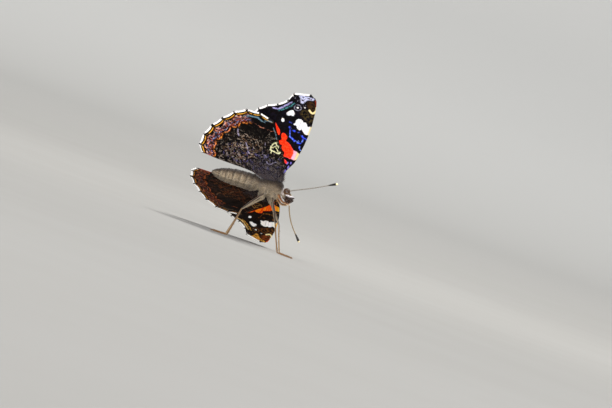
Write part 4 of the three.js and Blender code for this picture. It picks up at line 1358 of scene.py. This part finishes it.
def wing_base_coat(rng):
    """Long hair on both faces of the wings near their roots."""
    for kind, shape in (("forewing", FOREWING), ("hindwing", HINDWING)):
        finish = wing_hair_finish(f"{kind}_hair", *HAIR_COLOURS[kind])
        grid = wing_lines(shape, np.linspace(0.0, HAIR_GRID_REACH, HAIR_ROWS))[0]
        for side, sign in SIDES.items():
            coat = Coat()
            up = np.array([0, -sign * math.sin(WING_RAISE), math.cos(WING_RAISE)])
            for face in (1, -1):
                reach = HAIR_REACH[kind] * rng.uniform(0, 1, WING_BASE_HAIRS) ** HAIR_CROWDING
                column = rng.integers(0, grid.shape[1], WING_BASE_HAIRS)
                row = reach / HAIR_GRID_REACH * (HAIR_ROWS - 1)
                low = row.astype(int)
                part = (row - low)[:, None]
                flat = grid[low, column] * (1 - part) + grid[low + 1, column] * part
                flat = flat + rng.uniform(-HAIR_ASIDE, HAIR_ASIDE, flat.shape)
                height = wing_surface(shape, flat) + face * MEMBRANE / 2
                roots = wing_to_body(flat, height, sign)
                out = wing_to_body(flat * 1.02 + [0, 0.02], height, sign) - roots
                fields = {"reach": reach, "below": np.full(len(roots), float(-face))}
                uv = wing_unwrap(flat, 0 if face > 0 else 1)
                sites = (roots, np.tile(face * up, (len(roots), 1)), out, uv, fields)
                length = np.interp(reach, [0, HAIR_REACH[kind]], HAIR_LENGTHS)
                coat.add(sites, rng, length, *HAIR_SHAPE)
            coat.piece(f"{kind}_base_hair_{side}", finish, kind)


body_rng = np.random.default_rng(11)
body_coat(*body(), body_rng)
wing_base_coat(body_rng)

# Limbs: each is a path with radii, a skin along it and scales or hair on the skin. The tufts' sizes are
# [length, width, stand, bend, flatness].


def stand_to_part(points):
    """Millimetres from the floor under the forewing hinges, to metres in the part's frame."""
    return ORIGIN + (np.asarray(points, float) - [0, 0, BODY_HEIGHT]) * MM


def body_to_stand(point):
    return np.asarray(point, float) @ BODY_AXES + [0, 0, BODY_HEIGHT]


def mirrored(point, sign):
    """A point given for the left side, on the side of that sign."""
    return (point[0], sign * point[1], point[2])


def curve(points, count):
    """The smooth path through points, at even steps."""
    fine = catmull_rom(points, np.linspace(0, 1, 400))
    gone = np.concatenate([[0], np.cumsum(np.linalg.norm(np.diff(fine, axis=0), axis=1))])
    at = np.linspace(0, gone[-1], count)
    return np.column_stack([np.interp(at, gone, fine[:, k]) for k in range(3)])


class Limb:
    """A tapered limb in one of the frames, from points and [share, radius] stations."""

    def __init__(self, points, stations, count=60, down=(0, 0, -1)):
        self.path = curve(points, count)
        self.share = np.linspace(0, 1, count)
        self.radii = np.interp(self.share, *zip(*stations))
        self.down = np.asarray(down, float)

    def carried(self, share, angle, out):
        """The unwrapped places and the fields of points, from where each one is and faces."""
        uv = np.column_stack([0.05 + 0.9 * share, angle / (2 * math.pi)])
        return uv, {"share": share, "below": out @ self.down}

    def sites(self, count, rng, low=0.0, high=1.0):
        """Random sites for a coat's tufts, along the limb from low to high."""
        share = rng.uniform(low, high, count)
        angle = rng.uniform(0, 2 * math.pi, count)
        tangent, side, other = frames_along(self.path)

        def at(values):
            return np.column_stack([np.interp(share, self.share, values[:, k]) for k in range(3)])

        out = at(side) * np.cos(angle)[:, None] + at(other) * np.sin(angle)[:, None]
        root = at(self.path) + out * np.interp(share, self.share, self.radii)[:, None]
        return root, out, at(tangent), *self.carried(share, angle, out)

    def skin(self, name, finish, slot, replaced, to_part, sides=20):
        points, faces, share, angle = tube(self.path, self.radii, sides)
        uv, fields = self.carried(share, angle, unit(points - np.repeat(self.path, sides, axis=0)))
        piece = make(name, to_part(points), faces, [finish], fields=fields, uv=uv)
        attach(piece, "root")
        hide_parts(replaced)
        return piece


def scale_finish(name, dark, pale, low=-0.2, high=0.4, hairy=True, end=None):
    """Scales that are dark above and pale below, and end in another colour if one is given."""
    f = Finish(name, dark, roughness=0.7, specular=0.25, sheen=0.15)
    f.layer(pale, f.where("below", low, high))
    if end:
        f.layer(end, f.where("share", 0.9, 0.95))
    if hairy:
        f.shade_hair((0.6, 0.6), (0.35, 0.8))
    else:
        f.layer(dark, f.ramp(f.noise(f.spot(), 2500.0, 3), 0.45, 0.65), 0.3)
        f.bump(f.cells(f.spot(), 9000.0), 0.00003)
    return f.done()


# Head: eyes, palps, antennae and proboscis

EYE_ROWS = 40
EYE_SIDES = 56
EYE_INSIDE_SOLID = 0.985
EYE_HAIRS = 700  # on each eye
EYE_HAIR = (0.17, 0.016, 1.1, 0.08)  # short and sparse
EYE_HAIR_LIE = (-0.3, 0.0, -1.0)


def eye_finish():
    f = Finish("eye", "2a1509", roughness=0.4, specular=0.4)
    f.set({"Coat Weight": 0.16, "Coat Roughness": 0.26})
    spot = f.spot()
    f.layer("4b2a12", f.ramp(f.noise(spot, 1400.0, 3), 0.4, 0.65), 0.8)
    # Painted shade: the eye's lower half is darkened.
    f.layer("120805", f.where("below", -0.1, 0.75), 0.7)
    f.layer("6d4a26", f.where("rim", 0.75, 0.98), 0.5)
    f.bump(f.cells(spot, 24000.0), 0.000012, 0.7)
    return f.done()


def eyes(rng):
    finish = eye_finish()
    coat = Coat()
    angles = np.linspace(0.01, math.pi - 0.01, EYE_ROWS)
    a, t = (values.ravel() for values in np.meshgrid(angles, turns_of(EYE_SIDES), indexing="ij"))
    uv = np.column_stack([t / (2 * math.pi), a / math.pi])
    for side, sign in SIDES.items():
        out = np.stack([np.cos(t) * np.sin(a), sign * np.cos(a), np.sin(t) * np.sin(a)], -1)
        points = np.array(mirrored(EYE_AT, sign)) + out * np.array(EYE_RADII) * EYE_INSIDE_SOLID
        faces = [face[::-sign] for face in ring_faces(EYE_ROWS, EYE_SIDES)]
        fields = {"below": -out[:, 2], "rim": np.hypot(out[:, 0], out[:, 2])}
        piece = make(f"eye_ball_{side}", body_to_part(points), faces, [finish], fields=fields, uv=uv)
        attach(piece, "root")
        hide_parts(f"eye_{side}")
        chosen = rng.choice(len(points) // 2, EYE_HAIRS, replace=False)
        hair = {key: values[chosen] for key, values in fields.items()}
        lie = np.tile(EYE_HAIR_LIE, (EYE_HAIRS, 1))
        coat.add((points[chosen], out[chosen], lie, uv[chosen], hair), rng, *EYE_HAIR)
    coat.piece("eye_hair", scale_finish("eye_hair", "6b5138", "8d7658"), "eye")


PALP_PATH = [(2.9, 0.7, -1.1), (4.0, 0.88, -1.4), (5.25, 0.62, -0.87)]
PALP_RADII = [(0, 0.26), (0.3, 0.36), (0.7, 0.3), (0.93, 0.15), (1, 0.05)]
PALP_HIGHLIGHT_FACING = (0, 0.656, 0.755)  # the way its pale face looks: a painted highlight, with painted shade on the face beneath
PALP_SCALES = 1800  # on each palp


def palps(rng):
    # Pale on the upper outer face as a painted highlight, and dark beneath as painted shade, on skin and
    # scales alike.
    skin = scale_finish("palp_skin", "2a1a12", "c9bfbd", -0.15, 0.3, hairy=False)
    finish = scale_finish("palp", "38241a", "ece6ea", -0.15, 0.3)
    coat = Coat()
    for side, sign in SIDES.items():
        path = [mirrored(point, sign) for point in PALP_PATH]
        limb = Limb(path, PALP_RADII, 40, mirrored(PALP_HIGHLIGHT_FACING, sign))
        limb.skin(f"palp_skin_{side}", skin, "palp", f"palp_{side}", body_to_part)
        sites = limb.sites(PALP_SCALES, rng, 0.0, 0.97)
        fields = sites[-1]
        under = smoothstep(fields["below"], 0.2, -0.6)
        length = np.interp(fields["share"], [0, 0.5, 1], [0.55, 0.5, 0.25]) * (1 + 0.5 * under)
        coat.add(sites, rng, length, 0.06, 0.32 + 0.3 * under, 0.06, 0.5)
    coat.piece("palp_scales", finish, "palp")


ANTENNA_ROOT = (3.4, 0.42, 1.0)
ANTENNA_REACH = {
    "l": [(0.8, 0.45, -0.25), (1.35, 1.6, -3.1), (3.4, 3.7, -7.3), (7.35, 6.1, -11.8)],
    "r": [(1.0, -0.3, 0.55), (5.65, -4.0, 2.85), (11.9, -7.4, 6.35)],
}
ANTENNA_RINGS = 54
RING_SWELL = 0.09
ANTENNA_CLUB = [(0, 0.22), (0.03, 0.16), (0.8, 0.14), (0.87, 0.22), (0.94, 0.33), (0.985, 0.25), (1, 0.05)]
# Both antennae are alike: the left copy's warm brown and tan tones are painted glow of light from behind.
ANTENNA_TONES_LIT_BY_SIDE = {"r": ("3a3632", "b9b2a8", "8b867f"), "l": ("4a3520", "c9b48c", "8a6c40")}


def antenna_finish(side):
    """Dark rings, each with a pale front edge, and a black club with a cream tip."""
    dark, pale, base = ANTENNA_TONES_LIT_BY_SIDE[side]
    f = Finish(f"antenna_{side}", "17120e", roughness=0.5, specular=0.35)
    phase = f.maths("FRACT", f.both(f.field("share"), float(ANTENNA_RINGS)))
    shaft = f.where("share", 0.84, 0.8)
    f.layer(dark, shaft, 0.9)
    f.layer(pale, f.ramp(phase, 0.5, 0.62), shaft, 0.85)
    f.layer(base, f.where("share", 0.4, 0.12), 0.75)
    f.layer("f1dfae", f.where("share", 0.955, 0.975))
    f.bump(phase, 0.00002)
    return f.done()


def antennae():
    for side, sign in SIDES.items():
        root = body_to_stand(mirrored(ANTENNA_ROOT, sign))
        path = [root, *(root + reach for reach in ANTENNA_REACH[side])]
        limb = Limb(path, ANTENNA_CLUB, ANTENNA_RINGS * 6 + 1)
        phase = (limb.share * ANTENNA_RINGS) % 1
        limb.radii = limb.radii * (1 + RING_SWELL * np.sin(math.pi * phase))
        limb.skin(
            f"antenna_skin_{side}", antenna_finish(side), "antenna", f"antenna_{side}", stand_to_part, 16
        )


COIL = {"along": 3.8, "up": -2.45, "outer": 0.95, "inner": 0.28, "from": 0.32, "turns": 1.1}
PROBOSCIS_ROOT = (HEAD_AT + 0.15, 0, -HEAD_RADII[2] + 0.5)
PROBOSCIS_RADII = [(0, 0.2), (0.3, 0.17), (1, 0.1)]
PROBOSCIS_RINGS = 90.0


def proboscis():
    f = Finish("proboscis", "3a1c0b", roughness=0.28, specular=0.5)
    rings = f.maths("FRACT", f.both(f.field("share"), PROBOSCIS_RINGS))
    f.layer("6b3b1a", f.band(f.field("below"), 0.0, 0.25, 0.2), 0.7)
    f.layer("1c0d06", f.ramp(rings, 0.7, 0.95), 0.5)
    f.bump(rings, 0.00001)
    points = [PROBOSCIS_ROOT]
    for share in np.linspace(0, 1, 15):
        turn = (COIL["from"] - share * COIL["turns"]) * 2 * math.pi
        reach = COIL["outer"] + (COIL["inner"] - COIL["outer"]) * share
        points.append((COIL["along"] + reach * math.cos(turn), 0, COIL["up"] + reach * math.sin(turn)))
    limb = Limb(points, PROBOSCIS_RADII, 180, down=(0, 1, 0))
    limb.skin("proboscis_skin", f.done(), "proboscis", "proboscis", body_to_part, 18)


# Legs

LEG_SIZES = {"midleg": (7.1, 7.8, 5.0), "hindleg": (7.3, 8.1, 5.3)}  # femur, tibia, tarsus
ANKLES = {
    "midleg": {"l": (6.5, 3.2), "r": (6.0, -6.0)},
    "hindleg": {"l": (-9.0, 3.8), "r": (-8.4, -6.0)},
}
ANKLE_UP = 0.31
LEG_BOW = 0.12
KNEE_LIFT = 0.6  # how far up the knee bends for each step outwards
THIGH_SUNK = 0.25  # into the coxa
FEMUR_RADII = [(0, 0.34), (0.07, 0.36), (0.13, 0.24), (0.35, 0.33), (0.7, 0.3), (0.95, 0.22), (1, 0.16)]
TIBIA_RADII = [(0, 0.16), (0.06, 0.21), (0.5, 0.18), (0.93, 0.21), (1, 0.17)]
TARSOMERES = [0.42, 0.6, 0.74, 0.84, 1.0]  # where each joint ends, as a share of the tarsus
TARSOMERE_RADII = [(0, 0.7), (0.15, 0.85), (0.85, 1), (1, 0.75)]
TARSUS_RADIUS = 0.17
TARSUS_TAPER = 0.07  # from each joint to the next
FLOOR_GAP = 0.03
CLAW_ROOT = 0.35  # the tarsus's length that its claws take up
CLAW_UP = 0.16
CLAW_HOOK = [(0.0, 0.0), (0.16, 0.05), (0.3, -0.03), (0.36, -0.12)]  # outwards, up
LEG_STEPS = 50
TARSOMERE_STEPS = 14
FEMUR_SCALES = (900, (0.26, 0.07, 0.14, 0.04, 0.4))
FEMUR_HAIRS = (225, (0.42, 0.035, 0.5, 0.08))
TIBIA_SCALES = (700, (0.2, 0.07, 0.14, 0.04, 0.4))
TARSOMERE_SCALES = (84, (0.14, 0.05, 0.12, 0.03, 0.4))
SPINES_A_TIBIA = 22
SHIN_SPINE = (0.36, 0.028)  # length, thickness
ANKLE_SPINE = (0.55, 0.04)
TARSOMERE_SPINE = (0.2, 0.022)
SPINE_BEND = 0.12
SPINE_TAPER = (1, 0.85, 0.6, 0.35, 0.08)
UP = np.array([0.0, 0.0, 1.0])


def knee_of(hip, ankle, femur, tibia):
    """Where femur and tibia meet, bent outwards and up."""
    span = np.linalg.norm(ankle - hip)
    line = (ankle - hip) / span
    share = (femur**2 - tibia**2 + span**2) / (2 * span)
    rise = math.sqrt(max(femur**2 - share**2, 0.04))
    outwards = unit((ankle - hip) * [1, 1, 0]) + KNEE_LIFT * UP
    return hip + line * share + unit(outwards - line * (outwards @ line)) * rise


def spine(root, way, length, thick):
    """A stiff, slightly bent spine."""
    bend = -SPINE_BEND * length * UP
    path = [root - way * 0.05, root + way * length * 0.5 + bend * 0.4, root + way * length + bend]
    return tube(catmull_rom(path, np.linspace(0, 1, 5)), np.array(SPINE_TAPER) * thick, 6)


def tarsomeres(ankle, heading, long):
    """The joints of a tarsus, each a limb of its own, level on the floor."""
    limbs = []
    ends = np.array([0.0, *TARSOMERES]) * long
    for i, (low, high) in enumerate(zip(ends[:-1], ends[1:])):
        radius = TARSUS_RADIUS * (1 - TARSUS_TAPER * i)
        start = ankle + heading * (low - 0.06)
        end = ankle + heading * (high + 0.02)
        start[2] = radius + FLOOR_GAP + 0.03 if i else ANKLE_UP
        end[2] = radius + FLOOR_GAP
        shape = [(share, radius * part) for share, part in TARSOMERE_RADII]
        limbs.append(Limb([start, (start + end) / 2, end], shape, TARSOMERE_STEPS))
    return limbs


def claws(tip, heading, across):
    """The two hooks at a tarsus's tip."""
    for lean in (-1, 1):
        way = heading * 0.8 + across * lean * 0.5
        hook = [tip + way * out + UP * up for out, up in CLAW_HOOK]
        yield tube(catmull_rom(hook, np.linspace(0, 1, 10)), np.linspace(0.05, 0.01, 10), 8)


def leg(name, side, sign, finishes, coat, rng):
    """One walking leg, with its scales added to the coat. Returns its spines."""
    femur_long, tibia_long, tarsus_long = LEG_SIZES[name]
    along, up = HIPS[name]
    hip = body_to_stand((along, sign * HIP_ACROSS, up))
    ankle = np.array([*ANKLES[name][side], ANKLE_UP])
    knee = knee_of(hip, ankle, femur_long, tibia_long)
    thigh, shin = unit(knee - hip), unit(ankle - knee)
    bow = np.cross(thigh, np.cross(UP, thigh)) * LEG_BOW
    heading = unit((ankle - hip) * [1, 1, 0])
    across = np.cross(UP, heading)
    femur = Limb([hip - thigh * THIGH_SUNK, (hip + knee) / 2 + bow, knee], FEMUR_RADII, LEG_STEPS)
    tibia = Limb([knee, (knee + ankle) / 2 - bow, ankle + [0, 0, 0.05]], TIBIA_RADII, LEG_STEPS)
    label = f"{name}_{side}"
    femur.skin(f"{label}_femur_skin", finishes["femur"], "leg", f"{label}_femur", stand_to_part)
    tibia.skin(f"{label}_tibia_skin", finishes["tibia"], "leg", f"{label}_tibia", stand_to_part)

    joints = tarsomeres(ankle, heading, tarsus_long - CLAW_ROOT)
    tip = ankle + heading * (tarsus_long - CLAW_ROOT + 0.02)
    tip[2] = CLAW_UP
    parts = [tube(limb.path, limb.radii, 14) for limb in joints]
    points, faces, share, _ = join([*parts, *claws(tip, heading, across)])
    piece = make(
        f"{label}_tarsus_skin",
        stand_to_part(points),
        faces,
        [finishes["tarsus"]],
        fields={"share": share, "below": np.full(len(points), -0.2)},
        uv=np.column_stack([(points - ankle) @ heading / 6 + 0.05, 0.5 + (points - ankle) @ across]),
    )
    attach(piece, "root")
    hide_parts(f"{label}_tarsus")

    for limb, (count, tuft), span in (
        (femur, FEMUR_SCALES, (0.02, 0.98)),
        (tibia, TIBIA_SCALES, (0.02, 0.98)),
        (femur, FEMUR_HAIRS, (0.0, 0.75)),
    ):
        coat.add(limb.sites(count, rng, *span), rng, *tuft)
    count, tuft = TARSOMERE_SCALES
    for limb in joints:
        *sites, fields = limb.sites(count, rng)
        off_sole = sites[1][:, 2] > -0.5
        fields = {key: values[off_sole] for key, values in fields.items()}
        coat.add((*(values[off_sole] for values in sites), fields), rng, *tuft)

    roots, outs, *_ = tibia.sites(SPINES_A_TIBIA, rng, 0.1, 0.95)
    spines = [spine(root, out * 0.55 + shin * 0.75, *SHIN_SPINE) for root, out in zip(roots, outs)]
    for lean in (-1, 1):
        way = shin * 0.6 + across * lean * 0.45 - [0, 0, 0.05]
        spines.append(spine(ankle - shin * 0.3, way, *ANKLE_SPINE))
    for limb in joints:
        for lean in (-1, 1):
            root = limb.path[-2] + across * lean * limb.radii[-2] * 0.8
            spines.append(spine(root, heading * 0.8 + across * lean * 0.5, *TARSOMERE_SPINE))
    return spines


def legs(rng):
    finishes = {
        "femur": scale_finish("femur_skin", "2b2119", "8f806b", hairy=False),
        "tibia": scale_finish("tibia_skin", "5a4027", "a58b66", hairy=False),
        "tarsus": scale_finish("tarsus_skin", "6b4c2c", "a98f66", hairy=False),
    }
    coat = Coat()
    spines = []
    for name in HIPS:
        for side, sign in SIDES.items():
            spines += leg(name, side, sign, finishes, coat, rng)
    coat.piece("leg_scales", scale_finish("leg_scales", "5b432c", "b39c7a"), "leg", stand_to_part)
    points, faces, share, _ = join(spines)
    f = Finish("leg_spines", "1d120b", roughness=0.35)
    f.layer("5f3d20", f.where("share", 0.5, 1.0), 0.6)
    piece = make("leg_spines", stand_to_part(points), faces, [f.done()], fields={"share": share})
    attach(piece, "root")


FORELEG_HIP = (0.85, 0.75, -1.7)
FORELEG_REACH = {"l": (3.25, 1.1, -1.0), "r": (3.85, -1.35, -1.6)}
FORELEG_RADII = [(0, 0.26), (0.3, 0.24), (0.5, 0.17), (0.9, 0.15), (1, 0.06)]
FORELEG_SAG = 0.7
FORELEG_HAIRS = 750  # on each foreleg
FORELEG_HAIR = (0.5, 0.045, 0.45, 0.08, 0.6)


def forelegs(rng):
    """The small front pair, held forward as brushes."""
    skin = scale_finish("foreleg_skin", "6b3a1a", "a4692f", hairy=False)
    hair = scale_finish("foreleg_hair", "7a4a26", "c9a271", end="efe8dc")
    coat = Coat()
    for side, sign in SIDES.items():
        hip = body_to_stand(mirrored(FORELEG_HIP, sign))
        tip = hip + FORELEG_REACH[side]
        limb = Limb([hip, (hip + tip) / 2 - FORELEG_SAG * UP, tip], FORELEG_RADII, 40)
        limb.skin(f"foreleg_skin_{side}", skin, "leg", f"foreleg_{side}", stand_to_part)
        coat.add(limb.sites(FORELEG_HAIRS, rng), rng, *FORELEG_HAIR)
    coat.piece("foreleg_hair", hair, "leg", stand_to_part)


limb_rng = np.random.default_rng(23)
eyes(limb_rng)
palps(limb_rng)
antennae()
proboscis()
legs(limb_rng)
forelegs(limb_rng)

# Floor, light and camera

CAMERA_LENS = 180.0
PIXELS_PER_MM = 3.67
FRAME_WIDTH, FRAME_HEIGHT = 612, 408
BODY_AT = (276.0, 190.5)  # the point between the forewing hinges in the frame
CAMERA_ROLL = math.radians(19.8)
SENSOR_WIDTH = 36.0


def camera():
    data = bpy.data.cameras.new("camera")
    data.lens = CAMERA_LENS
    data.sensor_width = SENSOR_WIDTH
    data.clip_start = 0.01
    data.clip_end = 20
    right = np.array([math.cos(CAMERA_ROLL), 0, math.sin(CAMERA_ROLL)])
    up = np.array([-math.sin(CAMERA_ROLL), 0, math.cos(CAMERA_ROLL)])
    back = np.array([0.0, -1.0, 0.0])
    pixel = MM / PIXELS_PER_MM
    distance = CAMERA_LENS * FRAME_WIDTH / SENSOR_WIDTH * pixel
    aside = (FRAME_WIDTH / 2 - BODY_AT[0]) * pixel
    below = (FRAME_HEIGHT / 2 - BODY_AT[1]) * pixel
    at = ORIGIN + right * aside - up * below + back * distance
    piece = added("camera", data)
    turn = Matrix((right, up, back)).transposed().to_4x4()
    piece.matrix_world = Matrix.Translation(Vector(at)) @ turn
    bpy.context.scene.camera = piece


# The floor's bends, far behind the insect: each radius, and the slope in degrees up to which it goes
SWEEP = [(16.0, 3.4), (2.0, 25.0), (0.7, 90.0)]
SWEEP_FROM = 0.06
SWEEP_STEPS = 25
FLOOR_REACH = 3.0
WALL_TOP = 3.0


def backdrop():
    """A pale floor that sweeps up far behind the insect, paler where less light falls on it."""
    f = Finish("backdrop", "9e9d9b", roughness=0.95, specular=0.05)
    f.layer("9a9996", f.ramp(f.noise(f.spot(), 20.0, 3), 0.3, 0.7), 0.4)
    back = f.add("ShaderNodeSeparateXYZ", {0: f.spot()}).outputs["Y"]
    f.layer("cdccc9", f.ramp(back, 0.4, 1.25))
    f.layer("e9e8e5", f.ramp(back, 0.95, 1.5))
    f.layer("585755", f.ramp(back, -0.4, -1.2))
    profile = [(-FLOOR_REACH, 0.0), (SWEEP_FROM, 0.0)]
    slope = 0.0
    for radius, degrees in SWEEP:
        y, z = profile[-1]
        for turn in np.linspace(slope, math.radians(degrees), SWEEP_STEPS)[1:]:
            across = radius * (math.sin(turn) - math.sin(slope))
            profile.append((y + across, z + radius * (math.cos(slope) - math.cos(turn))))
        slope = math.radians(degrees)
    profile.append((profile[-1][0], WALL_TOP))
    points = [(x, y, z) for y, z in profile for x in (-FLOOR_REACH, FLOOR_REACH)]
    faces = [(2 * i, 2 * i + 1, 2 * i + 3, 2 * i + 2) for i in range(len(profile) - 1)]
    make("backdrop", points, faces, [f.done()])


LIGHTS = [  # name, place, size, watts and colour
    ("key", (-0.9, -1.4, 1.4), 0.6, 21.0, (1.0, 0.985, 0.96)),
    ("fill", (0.25, -1.3, 0.06), 0.6, 32.0, (1.0, 0.985, 0.965)),
    ("back", (0.15, 0.35, 0.8), 0.3, 7.0, (1.0, 0.98, 0.94)),
]
WORLD_COLOUR = (0.96, 0.98, 1.0, 1)
WORLD_STRENGTH = 0.52


def lights():
    """Round soft lights that face the insect, in an even pale room."""
    for name, place, size, watts, colour in LIGHTS:
        data = bpy.data.lights.new(name, "AREA")
        data.shape = "DISK"
        data.size = size
        data.energy = watts
        data.color = colour
        light = added(name, data)
        light.location = place
        light.rotation_euler = (Vector(ORIGIN) - Vector(place)).to_track_quat("-Z", "Y").to_euler()
    world = bpy.data.worlds.new("studio")
    world.use_nodes = True
    colour, strength = world.node_tree.nodes["Background"].inputs[:2]
    colour.default_value = WORLD_COLOUR
    strength.default_value = WORLD_STRENGTH
    bpy.context.scene.world = world


camera()
backdrop()
lights()
bpy.context.scene.view_settings.view_transform = "Standard"
